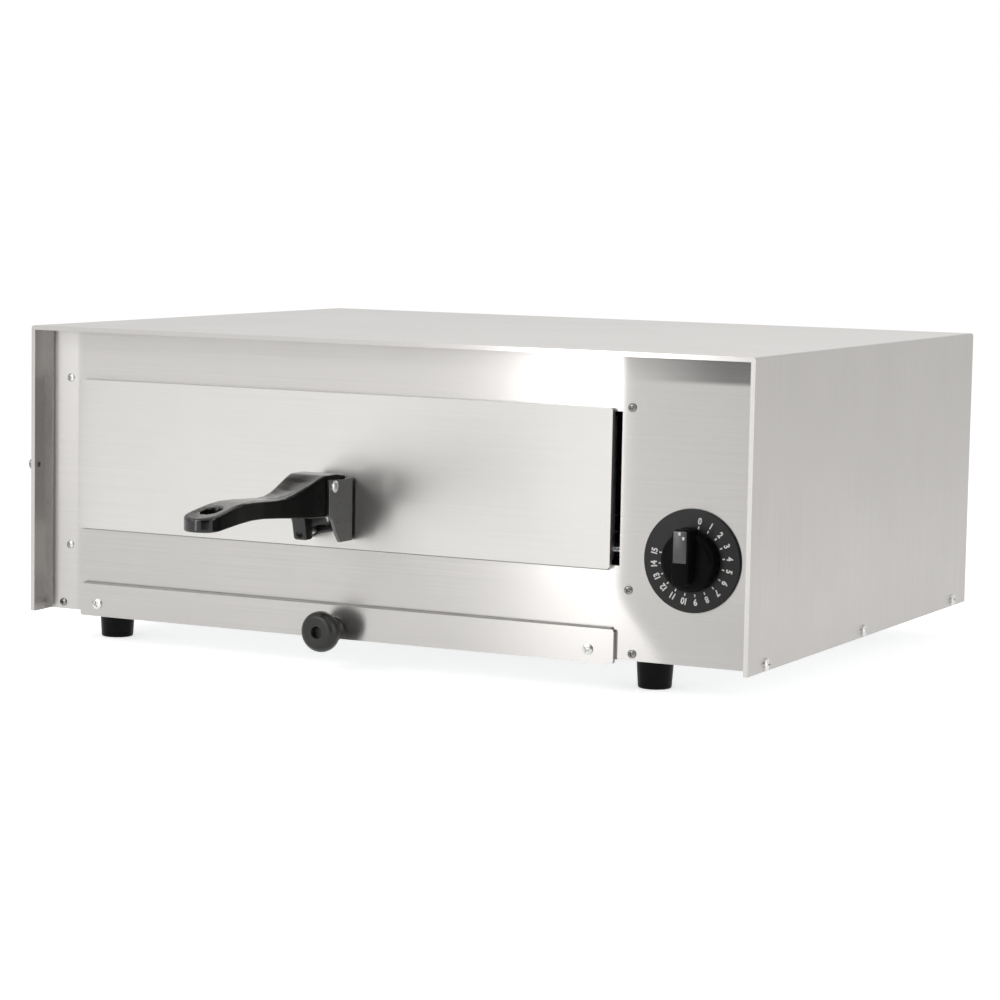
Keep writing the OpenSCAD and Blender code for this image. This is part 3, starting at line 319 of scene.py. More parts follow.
# %% Plain finishes
def finish(name, colour, rough, metallic=0.0, vary=0.12, scale=60.0, grain=900.0, bump=0.1,
           depth=0.0002, level=0.5):
    """Colour runs from (1 - vary) to (1 + vary) times itself by a noise of one scale, and
    roughness from 0.88 to 1.12 times itself; pits of the other scale give the bump."""
    made = bpy.data.materials.new(name)
    tree = fresh_nodes(made)
    here = node(tree, "TexCoord").outputs["Object"]
    patches = node(tree, "TexNoise", Vector=here, Scale=scale, Detail=4.0, Roughness=0.6).outputs[0]
    pits = node(tree, "TexNoise", Vector=here, Scale=grain, Detail=2.0).outputs[0]
    share = ramp(tree, patches, 0.3, 0.7, 1 - vary, 1 + vary)
    gloss = ramp(tree, patches, 0.3, 0.7, rough * 0.88, rough * 1.12)
    raised = node(tree, "Bump", Strength=bump, Distance=depth, Height=pits).outputs[0]
    shader = node(tree, "BsdfPrincipled", Base_Color=tinted(tree, colour, share), Metallic=metallic,
                  Roughness=gloss, Normal=raised)
    shader.inputs["Specular IOR Level"].default_value = level
    node(tree, "OutputMaterial", Surface=shader.outputs[0])
    return made


# Each: label, colour, roughness, metallic, vary, scale, grain, bump and, for the felt, depth
FINISHES = {
    "stainless": stainless,
    "aluminised": finish("aluminised sheet", (0.56, 0.57, 0.575), 0.42, 1.0, 0.08, 240, 1400, 0.12),
    "zinc": finish("zinc plate", (0.66, 0.665, 0.65), 0.30, 1.0, 0.1, 300, 1500, 0.1),
    "rack_wire": finish("chromed wire", (0.74, 0.74, 0.75), 0.16, 1.0, 0.05, 200, 900, 0.05),
    # Very dark for steel: painted shade on the handle bracket's ears.
    "bracket_steel": finish("satin bracket steel", (0.14, 0.14, 0.138), 0.3, 1.0, 0.06, 150, 1600,
                            0.12),
    "element_steel": finish("heat-dark tube", (0.17, 0.15, 0.135), 0.5, 0.7, 0.3, 90, 900, 0.2),
    "bakelite": finish("black bakelite", (0.004, 0.004, 0.004), 0.16, 0.0, 0.15, 90, 1400, 0.03,
                       level=0.2),
    "dial_black": finish("black dial enamel", (0.012, 0.012, 0.012), 0.42, 0.0, 0.1, 120, 1500,
                         0.06, level=0.25),
    "inlay": finish("satin grey inlay", (0.075, 0.075, 0.078), 0.34, 0.6, 0.08, 160, 1500, 0.06),
    "foot_rubber": finish("black rubber", (0.006, 0.006, 0.006), 0.36, 0.0, 0.2, 120, 900, 0.12,
                          level=0.08),
    "bushing_nylon": finish("black nylon", (0.02, 0.02, 0.02), 0.45, 0.0, 0.15, 120, 900, 0.08),
    "cutout_case": finish("dark phenolic", (0.04, 0.036, 0.033), 0.4, 0.0, 0.2, 140, 900, 0.1),
    "insulator": finish("steatite", (0.82, 0.79, 0.72), 0.55, 0.0, 0.05, 200, 900, 0.1),
    "blanket": finish("ceramic felt", (0.80, 0.79, 0.75), 0.95, 0.0, 0.08, 45, 260, 0.7, 0.003),
    "lead_cover": finish("glass-braid lead", (0.62, 0.58, 0.49), 0.8, 0.0, 0.15, 500, 1500, 0.5),
    "lead_dark": finish("silicone lead", (0.05, 0.05, 0.055), 0.5, 0.0, 0.15, 200, 900, 0.1),
    "brass": finish("turned brass", (0.72, 0.52, 0.24), 0.28, 1.0, 0.06, 200, 1200, 0.06),
    "timer_case": finish("passivated case", (0.62, 0.60, 0.50), 0.36, 1.0, 0.12, 120, 900, 0.08),
    "bell_steel": finish("nickel bell", (0.70, 0.67, 0.60), 0.2, 1.0, 0.05, 100, 900, 0.04),
}
# Two copies of the black bakelite for the handle: a more reflective one for its top, which
# brightens the dish and rims as painted light, and a far less reflective one for its upright sides,
# which darkens them as painted shade. The timer's knob is wholly in the second.
polished = finish("polished bakelite", (0.004, 0.004, 0.004), 0.15, 0.0, 0.15, 90, 1400, 0.02)
matt = finish("matt bakelite sides", (0.004, 0.004, 0.004), 0.3, 0.0, 0.15, 90, 1400, 0.05,
              level=0.04)
# Near-black steel for the rack guides: partly heat darkening, partly painted shade that keeps the
# door's side gap dark.
heat_dark_and_gap_shade = finish("heat-darkened guide", (0.06, 0.055, 0.05), 0.5, 1.0, 0.25, 120, 1100, 0.15)
blackened = finish("blackened steel", (0.01, 0.01, 0.01), 0.4, 0.6, 0.1, 200, 1500, 0.1,
                   level=0.1)
print(len(FINISHES), "finishes")

# %% Every node of the model takes its slot's finish
for name, part in frame["nodes"].items():
    part.data.materials.clear()
    own = heat_dark_and_gap_shade if name.startswith("rack_guide") else FINISHES[slot_of[name]]
    part.data.materials.append(own)
print(len(frame["nodes"]), "nodes finished")

# %% [markdown]
# ## Making a piece
# Each piece is a mesh whose points are worked out as whole arrays. `piece` puts the
# arrays into Blender, merges points that fall together at poles and seams, turns
# every face outwards, and sets smooth shading with sharp edges only where two faces
# meet at a real angle. It then gives the piece its finish, attaches it to its body
# and hides the nodes it replaces.


# %% Grids and joined parts
MERGE = 2e-6  # points closer than this fall together


def quads(rows, columns, closed=False):
    """Faces of a grid numbered row by row; closed also joins the last column to the first."""
    numbers = np.arange(rows * columns).reshape(rows, columns)
    if closed:
        numbers = np.column_stack([numbers, numbers[:, 0]])
    around = [numbers[:-1, :-1], numbers[:-1, 1:], numbers[1:, 1:], numbers[1:, :-1]]
    return np.stack(around, -1).reshape(-1, 4)


def joined(parts):
    """Stack the points of several (points, faces) parts and shift each part's face numbers."""
    points, faces, start = [], [], 0
    for some, sides in parts:
        points.append(np.asarray(some).reshape(-1, 3))
        listed = sides.tolist() if hasattr(sides, "tolist") else sides
        faces += [[start + i for i in side] for side in listed]
        start += len(points[-1])
    return np.concatenate(points), faces


def piece(name, parts, slot, body, replaces=(), crease=38, material=None):
    """A finished mesh object from (points in cabinet millimetres, faces) parts."""
    points, faces = joined(parts)
    mesh = bpy.data.meshes.new(name)
    mesh.from_pydata(row(points).tolist(), [], faces)
    shape = bmesh.new()
    shape.from_mesh(mesh)
    bmesh.ops.remove_doubles(shape, verts=shape.verts, dist=MERGE)
    bmesh.ops.dissolve_degenerate(shape, edges=shape.edges, dist=1e-7)
    bmesh.ops.recalc_face_normals(shape, faces=shape.faces)
    shape.to_mesh(mesh)
    shape.free()
    mesh.polygons.foreach_set("use_smooth", np.ones(len(mesh.polygons), bool))
    mesh.set_sharp_from_angle(angle=radians(crease))
    made = bpy.data.objects.new(name, mesh)
    bpy.context.scene.collection.objects.link(made)
    mesh.materials.append(material or FINISHES[slot])
    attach(made, body)
    if replaces:
        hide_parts(*replaces)
    print(name, len(mesh.polygons), "faces")
    return made


# %% Turned shapes and rounded corners
AXES = {"x": np.eye(3)[[1, 2, 0]], "y": np.eye(3)[[2, 0, 1]], "z": np.eye(3)}


def rounded(points, radius, steps=5):
    """Replace each inner corner C by a curve from A to B, both `radius` from C along the
    two edges: (1-t)^2 A + 2t(1-t) C + t^2 B."""
    p = np.asarray(points, float)
    before, corner, after = p[:-2], p[1:-1], p[2:]
    r = np.broadcast_to(np.asarray(radius, float), len(corner))[:, None]
    back_len = np.linalg.norm(before - corner, axis=1, keepdims=True)
    on_len = np.linalg.norm(after - corner, axis=1, keepdims=True)
    a = corner + (before - corner) * np.minimum(r / back_len, 0.48)
    b = corner + (after - corner) * np.minimum(r / on_len, 0.48)
    t = np.linspace(0, 1, steps)[None, :, None]
    curve = (1 - t) ** 2 * a[:, None] + 2 * t * (1 - t) * corner[:, None] + t ** 2 * b[:, None]
    return np.concatenate([p[:1], curve.reshape(-1, p.shape[1]), p[-1:]])


def turned_shape(profile, centre, axis="z", sense=1, turns=64):
    """Carry (radius, height) round an axis: centre + r cos(a) e1 + r sin(a) e2 + h e3."""
    r, h = np.asarray(profile, float).T
    a = np.linspace(0, 2 * pi, turns, endpoint=False)
    e1, e2, e3 = AXES[axis]
    round_axis = np.cos(a)[None, :, None] * e1 + np.sin(a)[None, :, None] * e2
    points = (np.asarray(centre, float) + r[:, None, None] * round_axis
              + sense * h[:, None, None] * e3)
    return points, quads(len(r), turns, True)


# %% [markdown]
# ## Sheet pieces
# The cover, the front, the back, the door's skin and the tray's front are plain bent
# sheet, and the model already has them right. A copy of each gets its grain map and
# a hair of bevel, because a cut edge of sheet always catches a line of light. The
# copy is merged first, since the model's triangles are loose.


# %% Copies of the bent sheets
EDGE = 0.00022  # bevel on a cut edge
FORWARDS = -0.9  # a face with less than this in its normal's y looks forwards
HEM_Y = -0.119  # the hem's front edge lies before this


def face_values(mesh, what):
    """One vector for each face, its normal or its centre."""
    values = np.zeros(len(mesh.polygons) * 3)
    mesh.polygons.foreach_get(what, values)
    return values.reshape(-1, 3)


def second_finish(mesh, material, where):
    """Give the faces that the mask picks out a second material."""
    mesh.materials.append(material)
    mesh.polygons.foreach_set("material_index", where.astype(np.int32))


def grain_map(mesh):
    """UV in metres by the face's main direction: across the grain in U, along it in V."""
    corners = np.zeros(len(mesh.loops), int)
    mesh.loops.foreach_get("vertex_index", corners)
    co = np.zeros(len(mesh.vertices) * 3)
    mesh.vertices.foreach_get("co", co)
    co = co.reshape(-1, 3)[corners]
    normals = face_values(mesh, "normal")
    totals = np.zeros(len(mesh.polygons), int)
    mesh.polygons.foreach_get("loop_total", totals)
    main = np.repeat(np.abs(normals).argmax(1), totals)
    pick = np.arange(len(main))
    across, along = np.array([1, 2, 1])[main], np.array([2, 0, 0])[main]
    uv = np.stack([co[pick, across], co[pick, along]], 1)
    layer = mesh.uv_layers.new(name="grain")
    layer.data.foreach_set("uv", uv.astype(np.float32).ravel())


def sheet_copy(name, source, bend=None):
    """Merge a copy of a node, map its grain and bevel its edges; bend rounds the upright
    edges at a distance from the handle's middle plane and a depth by a radius."""
    mesh = frame["nodes"][source].data.copy()
    mesh.name = name
    for layer in list(mesh.uv_layers):
        mesh.uv_layers.remove(layer)
    shape = bmesh.new()
    shape.from_mesh(mesh)
    bmesh.ops.remove_doubles(shape, verts=shape.verts, dist=1e-6)
    if bend:
        half, depth, radius = bend
        upright = [e for e in shape.edges
                   if all(abs(abs(v.co.x - HANDLE_X / 1000) - half) < 5e-5
                          and abs(v.co.y - depth) < 5e-5 for v in e.verts)]
        bmesh.ops.bevel(shape, geom=upright, offset=radius, segments=4, affect="EDGES",
                        clamp_overlap=True)
        print(len(upright), "edges bent")
    shape.to_mesh(mesh)
    shape.free()
    if mesh.has_custom_normals:
        mesh.attributes.remove(mesh.attributes["custom_normal"])
    grain_map(mesh)
    mesh.polygons.foreach_set("use_smooth", np.ones(len(mesh.polygons), bool))
    mesh.set_sharp_from_angle(angle=radians(30))
    made = bpy.data.objects.new(name, mesh)
    bpy.context.scene.collection.objects.link(made)
    mesh.materials.clear()
    mesh.materials.append(OWN.get(source, FINISHES[slot_of[source]]))
    edge = made.modifiers.new("edge", "BEVEL")
    edge.width, edge.segments = EDGE, 2
    edge.limit_method, edge.angle_limit = "ANGLE", radians(30)
    edge.harden_normals = True
    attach(made, body_of[source])
    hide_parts(source)
    print(name, len(mesh.polygons), "faces")
    return made


for source in ("outer_cover", "front_panel", "rear_panel", "door_panel", "tray_front"):
    sheet_copy(source + "_sheet", source)

# The hem's forward faces take a glossier, lighter copy of the cover's steel; the lighter colour is
# painted light along the front edge.
cover = bpy.data.objects["outer_cover_sheet"].data
facing, place = face_values(cover, "normal")[:, 1], face_values(cover, "center")[:, 1]
second_finish(cover, lit_hem_steel, (facing < FORWARDS) & (place < HEM_Y))

# The bracket's ears take a very dark steel, which is painted shade, and its web, which faces
# forwards, takes the door's lighter sheet, which is painted light: a shaded and a lit copy of one
# steel.
bracket = sheet_copy("handle_bracket_sheet", "handle_bracket", bend=(0.0143, -0.1045, 0.0013)).data
second_finish(bracket, door_steel, face_values(bracket, "normal")[:, 1] < FORWARDS)

# %% [markdown]
# ## Painted shadow lines
# A thin grey strip lies under the door's lower edge and another above the crumb
# tray's front, where each closes on the panel. They stand for the shadow in those
# gaps: painted shadow. Both are plain rods of rectangular section with softened
# corners, swept along x.


# %% Strips of painted shadow
def strip(x0, x1, y0, y1, z0, z1, soft=0.25):
    """A round-cornered (y, z) rectangle carried from x0 to x1, closed at both ends."""
    outline = rounded([(y0, z0), (y1, z0), (y1, z1), (y0, z1), (y0, z0)], soft, 3)[1:]
    rings = np.stack([np.insert(outline, 0, x, axis=1) for x in np.linspace(x0, x1, 9)])
    n = len(outline)
    return rings, quads(9, n, True).tolist() + [list(range(n)), list(range(8 * n, 9 * n))]


# Grey strips standing for the shadow under the door's edge and over the tray's front: painted
# shadow.
shadow_line_grey = finish("grey shadowing strip", (0.34, 0.335, 0.33), 0.6, 0.0, 0.1, 120, 900, 0.1)
piece("door_shadow_line", [strip(-213, 145, 18.2, 19.9, 51.2, 52.1)], "zinc", "rack_door", material=shadow_line_grey)
piece("tray_shadow_line", [strip(-212, 148, 17.6, 19.9, 17.3, 18.4)], "zinc", "tray", material=shadow_line_grey)

# %% [markdown]
# ## The moulded handle
# The handle is one moulding: a broad dished root between the bracket's ears, a waist,
# and a loop with a slot to hang it by. Subdividing a rough cage would do, but the
# outline is known from the photograph in side view and in plan, so the surface is
# worked out instead: rows run out from the root to the tip, and in every row the
# section goes from the middle over the rounded edge and back underneath. Where a row
# crosses the slot it starts at the slot's edge and gets an inner wall.

# %% Handle lines
HANDLE_Z = 73.0
TOP_LINE = np.array([
    [-9.5, 23.6], [-0.5, 24.9], [13.5, 24.9], [19, 23.3], [26.5, 20.7], [34.5, 18.2], [43, 16.0],
    [51, 14.7], [60, 14.5], [74, 15.2], [85, 15.8], [98, 15.9], [106, 15.2], [113, 14.1],
    [119.6, 13], [126, 11.9], [132, 10.9], [138, 9.9]])
LOW_LINE = np.array([
    [-9.5, 0], [12, 0.2], [26, 0.6], [56, 3], [75, 4.4], [90, 4.8], [106, 4.2], [119, 3.2],
    [127, 2.4], [134, 1.8], [138, 2]])
PLAN_LINE = np.array([
    [-9.5, 12], [12, 12], [25, 11.2], [40, 9.4], [56, 8.4], [77, 8.4], [98, 9.8], [110, 10.8],
    [120, 11.2], [138, 11.2]])
ROOT, TIP, TIP_R = -9.5, 138.0, 11.2
SLOT_OUT, SLOT_R, SLOT_FLAT = 119.5, 5.0, 2.5  # the slot's middle, end radius and half length


def flowing(u, line, soft=2.5):
    """The line through the points, averaged over `soft` millimetres either side."""
    shift = np.linspace(-soft, soft, 11)
    return np.interp(u[:, None] + shift, line[:, 0], line[:, 1]).mean(1)


def edge_drop(distance, radius):
    """How far a rounded edge lies below the flat: r - sqrt(r^2 - (r - d)^2) inside r."""
    inside = np.clip(radius - distance, 0, radius)
    return radius - np.sqrt(np.maximum(radius ** 2 - inside ** 2, 0))


# %% Handle surface
def handle_parts():
    """Rows at `out` millimetres from the cover's edge; columns from the middle (or the slot)
    to the outline on top, down the side, and back below."""
    quarter = np.linspace(0, pi / 2, 11)
    near, far = SLOT_OUT - SLOT_FLAT, SLOT_OUT + SLOT_FLAT
    out = np.unique(np.round(np.concatenate([
        np.linspace(ROOT, near - SLOT_R, 82), near - SLOT_R * np.cos(quarter),
        np.linspace(near, far, 5), far + SLOT_R * np.sin(quarter),
        TIP - TIP_R + TIP_R * np.sin(np.linspace(0.02, pi / 2, 20))]), 4))
    wide = flowing(out, PLAN_LINE)
    past = np.clip(out - (TIP - TIP_R), 0, TIP_R)
    wide = np.where(past > 0, np.sqrt(np.maximum(TIP_R ** 2 - past ** 2, 0)), wide)
    along = np.abs(out - SLOT_OUT)
    bend = np.clip(along - SLOT_FLAT, 0, SLOT_R)
    inner = np.where(along < SLOT_FLAT + SLOT_R, np.sqrt(np.maximum(SLOT_R ** 2 - bend ** 2, 0)), 0)
    columns = 22
    t = (1 - np.cos(np.linspace(0, pi, columns))) / 2
    x = inner[:, None] + (wide - inner)[:, None] * t
    u = np.broadcast_to(out[:, None], x.shape)
    from_edge = np.where(u > TIP - TIP_R, TIP_R - np.hypot(x, u - (TIP - TIP_R)), wide[:, None] - x)
    from_slot = np.hypot(x, np.clip(np.abs(u - SLOT_OUT) - SLOT_FLAT, 0, None)) - SLOT_R
    from_edge, from_slot = np.maximum(from_edge, 0), np.maximum(from_slot, 0)
    round_top = np.interp(out, [0, 14, 40, 70, 100, 138], [0.9, 1.0, 1.6, 2.4, 2.4, 1.8])[:, None]
    dish = np.interp(out, [12, 22, 34, 46, 64, 100, 112, 138],
                     [0.0, 1.6, 2.0, 1.1, 0.0, 0.0, 0.3, 0.3])[:, None]
    across = np.clip(x / np.maximum(wide[:, None] - round_top, 0.5), 0, 1)
    top = HANDLE_Z + flowing(out, TOP_LINE, 0.9)[:, None] - dish * (1 - across ** 2)
    low = HANDLE_Z + flowing(out, LOW_LINE)[:, None]
    upper = top - edge_drop(from_edge, round_top) - edge_drop(from_slot, 1.0)
    lower = low + edge_drop(from_edge, 1.2) + edge_drop(from_slot, 0.8)
    wall = np.linspace(0, 1, 6)[None, 1:-1]
    side = upper[:, -1:] * (1 - wall) + lower[:, -1:] * wall
    z = np.hstack([upper, side, lower[:, ::-1]])
    x = np.hstack([x, np.repeat(x[:, -1:], 4, 1), x[:, ::-1]])
    y = np.broadcast_to(-out[:, None], x.shape)
    faces = quads(*x.shape)
    numbers = np.arange(x.size).reshape(x.shape)
    rows = np.flatnonzero(along <= SLOT_FLAT + SLOT_R + 1e-3)
    a, b = numbers[rows[:-1]], numbers[rows[1:]]
    wall_faces = np.stack([a[:, -1], a[:, 0], b[:, 0], b[:, -1]], 1)
    faces = np.concatenate([faces, wall_faces])
    halves = [(np.stack([HANDLE_X + s * x, y, z], -1), faces) for s in (1, -1)]
    ends = [(points[0], [list(range(len(points[0])))]) for points, _ in halves]
    return halves + ends


def block(levels, corner=1.2, steps=5):
    """A closed post: at each (z, x0, x1, y0, y1) level a round-cornered rectangle."""
    quarter = np.linspace(0, pi / 2, steps)
    a = np.concatenate([quarter + k * pi / 2 for k in range(4)])
    corner_x = np.repeat([1, 0, 0, 1], steps)
    corner_y = np.repeat([1, 1, 0, 0], steps)
    rings = []
    for z, x0, x1, y0, y1 in levels:
        x = np.where(corner_x, x1 - corner, x0 + corner) + corner * np.cos(a)
        y = np.where(corner_y, y1 - corner, y0 + corner) + corner * np.sin(a)
        rings.append(np.stack([x, y, np.full_like(x, z)], 1))
    n = len(a)
    caps = [list(range(n))[::-1], list(range((len(levels) - 1) * n, len(levels) * n))]
    faces = quads(len(levels), n, True).tolist() + caps
    return np.array(rings), faces


post = block([(76.5, -39.0, -30.0, -25.6, -14), (61.2, -38.9, -30.1, -21.9, -14),
              (60.4, -38.6, -30.4, -21.4, -14.3), (60.0, -38.0, -31.0, -20.9, -14.9)])
handle = piece("handle_moulding", handle_parts() + [post], "bakelite", "rack_door", ["handle"],
               material=polished).data
# The upright sides take the less reflective copy: painted shade.
second_finish(handle, matt, np.abs(face_values(handle, "normal")[:, 0]) > 0.85)

# %% [markdown]
# ## Knobs, dial and feet
# These are all turned shapes: a profile of radius against height, with its corners
# rounded by short curves, carried once round an axis. The timer's knob also has a
# bar grip, which is an outline raised in rings that draw in towards the face.


# %% Feet
FOOT = rounded([(0, 0), (11.2, 0), (9.9, -21), (5.5, -21), (5.5, -5), (0, -5)],
               [0.6, 1.3, 0.4, 0.4])
FEET = {"front_left": (-215, 60), "front_right": (157.6, 60),
        "rear_left": (-215, 319), "rear_right": (157.6, 319)}
for label, (x, y) in FEET.items():
    piece("rubber_foot_" + label, [turned_shape(FOOT, (x, y, 0))], "foot_rubber",
          body_of["foot_" + label], ["foot_" + label])

# %% Tray knob
R, L = 12.2, 21.0
PULL = (-33, 17, 3.3)
TRAY_KNOB = rounded(
    [(0, 0), (R * 0.62, 0), (R * 0.62, 1.5), (R * 0.5, 3.5), (R * 0.48, L * 0.38),
     (R * 0.62, L * 0.56), (R * 0.94, L * 0.60), (R, L * 0.66), (R, L * 0.8), (R * 0.93, L * 0.9),
     (R * 0.76, L), (3.6, L), (3.4, L - 5), (0, L - 5)],
    [0.3, 0.8, 2, 3, 3, 1.2, 1.0, 1.0, 1.2, 1.6, 0.5, 0.4], 6)
PULL_BOLT = [(0, -6), (1.9, -6), (1.9, 9), (3.2, 9), (3.2, 13.5), (1.6, 14.2), (1.6, 12.5),
             (0, 12.5)]
phenolic = finish("grey-black phenolic", (0.022, 0.022, 0.020), 0.30, 0.0, 0.15, 90, 1400, 0.05,
                  level=0.35)
piece("tray_pull", [turned_shape(TRAY_KNOB, PULL, "y", -1)], "bakelite", "tray", ["tray_knob"],
      material=phenolic)
piece("tray_pull_bolt", [turned_shape(PULL_BOLT, PULL, "y", -1, 32)], "zinc", "tray",
      ["tray_knob_bolt"], crease=20, material=blackened)

# %% Dial
TIMER_X, TIMER_Z = 196.8, 60.0
PANEL_Y, DIAL_Y = 20, 18  # faces of the front panel and of the dial
DIAL = rounded([(0, 0), (29.5, 0), (29.5, 2), (0, 2)], [0.2, 0.7])
piece("dial_disc", [turned_shape(DIAL, (TIMER_X, PANEL_Y, TIMER_Z), "y", -1, 128)], "dial_black",
      "cabinet", ["dial_plate"])


# %% [markdown]
# The figures round the dial are a clockwork timer's usual 0 to 15, eighteen degrees
# apart, each with a short line inside it. Blender's text gives their outlines as a
# mesh, and the arrays then turn and place every figure on the ring.


# %% Dial figures
def text_part(words, size):
    """The outline of some text as points and triangles, middle at nought, in millimetres."""
    curve = bpy.data.curves.new("figure", "FONT")
    curve.body, curve.size, curve.extrude = words, size, 0.06
    curve.offset, curve.resolution_u = 0.2, 4
    curve.align_x, curve.align_y, curve.space_character = "CENTER", "CENTER", 0.86
    holder = bpy.data.objects.new("figure", curve)
    bpy.context.scene.collection.objects.link(holder)
    bpy.context.view_layer.update()
    mesh = holder.to_mesh()
    points = np.zeros(len(mesh.vertices) * 3)
    mesh.vertices.foreach_get("co", points)
    points = points.reshape(-1, 3)
    faces = [list(f.vertices) for f in mesh.polygons]
    holder.to_mesh_clear()
    bpy.data.objects.remove(holder)
    points[:, :2] -= (points[:, :2].max(0) + points[:, :2].min(0)) / 2
    return points, faces


def on_dial(points, angle, radius):
    """Turn the drawing clockwise, so that its top points outwards, and move it out along
    the radius; its middle lies a hundredth of a millimetre before the dial's face."""
    x, up_, lift = points.T
    up_ = up_ + radius
    return np.stack([TIMER_X + x * cos(angle) + up_ * sin(angle), DIAL_Y - 0.01 - lift,
                     TIMER_Z - x * sin(angle) + up_ * cos(angle)], 1)


FIRST, STEP = 11, 18  # degrees
FIGURE_SIZE, FIGURE_R, TICK_R = 5.1, 23.3, 19.5
marks = []
for i in range(16):
    angle = radians(FIRST + STEP * i)
    shape, faces = text_part(str(i), FIGURE_SIZE)
    marks.append((on_dial(shape * (0.86, 1, 1), angle, FIGURE_R), faces))
    tick, sides = block([(z, -0.4, 0.4, -0.8, 0.8) for z in (-0.05, 0.06)], 0.1, 2)
    marks.append((on_dial(tick.reshape(-1, 3), angle, TICK_R), sides))
ink = finish("pale dial ink", (0.62, 0.62, 0.61), 0.5, 0.0, 0.1, 400, 1500, 0.05)
piece("dial_figures", marks, "dial_black", "cabinet", material=ink)

# %% Timer knob
BODY = rounded([(0, 0), (17.5, 0), (17.5, 3), (16.5, 5.5), (14.5, 7.4), (0, 8.6)],
               [0.4, 1.2, 1.2, 1.5])


def bar(outline, levels):
    """Rings of an (x, z) outline, drawn in by each level's inset at its y, and capped."""
    p = np.asarray(outline, float)
    run = np.roll(p, -1, 0) - np.roll(p, 1, 0)
    inward = np.stack([-run[:, 1], run[:, 0]], 1) / np.linalg.norm(run, axis=1, keepdims=True)
    rings = np.array([np.insert(p + inward * inset, 1, y, axis=1) for inset, y in levels])
    n, k = len(p), len(levels)
    caps = [list(range(n))[::-1], list(range((k - 1) * n, k * n))]
    return rings, quads(k, n, True).tolist() + caps


a = np.linspace(0, pi, 17)
tail = np.stack([-5 * np.cos(a), -8.0 - 5 * np.sin(a)], 1)
nose = np.stack([2 + 3 * np.cos(a[:9]), 16.5 + 3 * np.sin(a[:9])], 1)
outline = np.concatenate([tail, nose, nose[::-1] * (-1, 1)]) + (TIMER_X, TIMER_Z)
grip = bar(outline, [(0, 14.6), (0, 1.4), (0.25, 0.85), (0.8, 0.5)])
piece("timer_grip", [turned_shape(BODY, (TIMER_X, 17.6, TIMER_Z), "y", -1, 96), grip], "bakelite",
      "knob", ["timer_knob"], material=matt)

INLAY = rounded([(-4, 0.5), (4, 0.5), (4, 18.3), (-4, 18.3), (-4, 0.5)], 0.6) + (TIMER_X, TIMER_Z)
piece("grip_inlay", [bar(INLAY[1:], [(0, 1.3), (0, 0.46), (0.12, 0.4)])], "inlay", "knob",
      ["knob_insert"])
POINTERS = ((-0.3, 17.0), (2.1, 14.5))
spots = []
for x, z in POINTERS:
    points, faces = block([(lift, x - 0.7, x + 0.7, z - 0.9, z + 0.9) for lift in (0.62, 0.72)],
                          0.3, 3)
    points = points.reshape(-1, 3)[:, [0, 2, 1]] * (1, -1, 1)
    spots.append((points + (TIMER_X, 1.0, TIMER_Z), faces))
piece("pointer_mark", spots, "inlay", "knob", material=ink)

# %% [markdown]
# ## Screws
# A pan head is a low dome with a cross pressed into it. In polar rings the height is
# the dome less the cross, whose walls slope over a tenth of a millimetre. The shank
# below is a plain turned shape, unseen once the screw is home.


# %% Screw heads
def screw_parts(places, axis, sense, head=4.0, tall=2.4, shank=(1.9, 7.0), turn=0.3):
    """Height over the seat at radius r and angle a: H sqrt(1 - 0.75 (r/R)^2), less the
    cross's depth where |x| or |y| is under its half width and the other under its half
    length."""
    share = np.concatenate([[0], np.linspace(0.06, 0.97, 15), [1.0, 1.0]])
    a = np.linspace(0, 2 * pi, 56, endpoint=False)
    r = head * share[:, None]
    x, y = r * np.cos(a + turn), r * np.sin(a + turn)
    dome = tall * np.sqrt(1 - 0.75 * (share[:, None] ** 2)) + 0 * x
    thin, long = 0.1 * head, 0.52 * head
    narrow, broad = np.minimum(np.abs(x), np.abs(y)), np.maximum(np.abs(x), np.abs(y))
    pressed = np.clip((thin + 0.1 - narrow) / 0.12, 0, 1)
    pressed = pressed * np.clip((long + 0.15 - broad) / 0.2, 0, 1)
    h = dome - 0.55 * tall * pressed
    h[-1] = 0
    e1, e2, e3 = AXES[axis]
    made = []
    for place in places:
        points = (np.asarray(place, float) + (r * np.cos(a))[..., None] * e1
                  + (r * np.sin(a))[..., None] * e2 + sense * h[..., None] * e3)
        made.append((points, quads(len(share), len(a), True)))
        thick, deep = shank
        stem = [(head, 0), (thick, 0), (thick, -deep + 0.6), (thick - 0.4, -deep), (0, -deep)]
        made.append(turned_shape(stem, place, axis, sense, 16))
    return made


TILTS = np.array([0.3, 1.1, 0.7, 0.15, 0.9, 0.5])


def screws(name, source, places, axis, sense, head, tall, shank=(1.9, 7.0), finish_=None):
    """One piece of screws, each turned a little differently, that stands for the node."""
    parts = []
    count = len(places)
    for spot, sign, turn in zip(places, np.broadcast_to(sense, count), np.resize(TILTS, count)):
        parts += screw_parts([spot], axis, sign, head, tall, shank, turn)
    piece(name, parts, "zinc", body_of[source], [source], crease=24, material=finish_)


WALL_X, REAR_Y = 239.5, 371  # faces of the side walls and of the rear panel
SIDE_Y = (27, 185, 352)
FLANGE = [(-228.5, 4), (-223.5, 40.5), (-223.5, 144.5), (157.5, 40.5), (157.5, 144.5), (160.5, 4)]
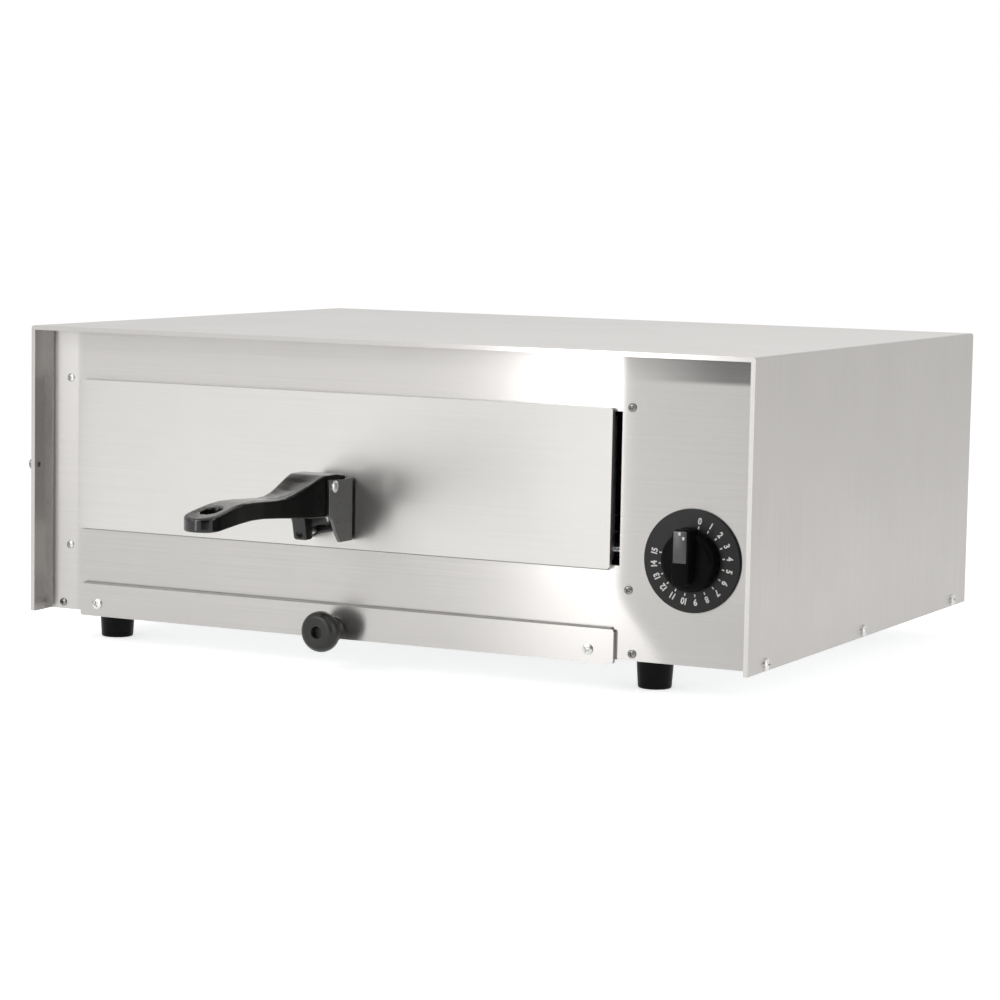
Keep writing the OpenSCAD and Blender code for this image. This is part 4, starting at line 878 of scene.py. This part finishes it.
# A darker copy of the zinc; on the front screws other than the two upper left ones it is painted
# shade.
dull_zinc_and_shade = finish("dull zinc", (0.26, 0.26, 0.25), 0.30, 1.0, 0.12, 300, 1500, 0.1)
screws("side_screws", "cover_side_screws", [(s * WALL_X, y, 4) for s in (-1, 1) for y in SIDE_Y],
       "x", [-1] * 3 + [1] * 3, 3.5, 2.4)
screws("edge_screw", "cover_edge_screw", [(-WALL_X, 4.5, 91)], "x", -1, 3.5, 4.2, (1.9, 0.8),
       dull_zinc_and_shade)
screws("front_screws", "front_panel_screws",
       [(x, PANEL_Y, z) for x, z in FLANGE if x > 0 or z == 4], "y", -1, 2.4, 1.8,
       finish_=dull_zinc_and_shade)
# The two upper left front screws take the lighter zinc and the others the darker: a lit and a
# shaded copy of one screw, painted light and painted shade.
bright = [screw_parts([(x, PANEL_Y, z)], "y", -1, 2.4, 1.5) for x, z in FLANGE if x < 0 and z > 4]
piece("front_screws_left", sum(bright, []), "zinc", "cabinet", crease=24, material=FINISHES["zinc"])
screws("rear_screws", "rear_panel_screws", [(x, REAR_Y, z) for x, z in FLANGE], "y", 1, 3.5, 2.4)
screws("pivot_bolt", "handle_pivot_bolt", [(-20.2, -7.5, 91)], "x", 1, 3.5, 2.2, (1.9, 32.0))


def nut_part(place, axis, sense, across=3.6, tall=3.2):
    """A hexagon nut: six-sided rings, drawn in by 0.3 where they meet the faces."""
    profile = [(1.9, 0), (across - 0.3, 0), (across, 0.3), (across, tall - 0.4),
               (across - 0.4, tall), (1.9, tall)]
    return turned_shape(profile, place, axis, sense, 6)


piece("pivot_nut", [nut_part((-48.8, -7.5, 91), "x", -1)], "zinc", "rack_door", crease=20,
      material=blackened)
rod = turned_shape([(0, -14.5), (1.9, -14.5), (1.9, 14), (0, 14)], (HANDLE_X, 0, 64), "y", 1, 24)
piece("lug_rod", [rod, nut_part((HANDLE_X, 16.9, 64), "y", 1)], "zinc", "rack_door",
      ["handle_lug_screw"], crease=20)
piece("lug_screw_head", screw_parts([(HANDLE_X, -21.2, 64)], "y", -1, 2.9, 1.7, (1.9, 6.0)), "zinc",
      "rack_door", crease=24, material=blackened)
screws("tray_screws", "tray_front_screws", [(x, 17, 5) for x in (-201.5, 134.0)], "y", -1, 3.2, 1.6,
       (1.9, 5.0))

# %% Update the scene
bpy.context.view_layer.update()
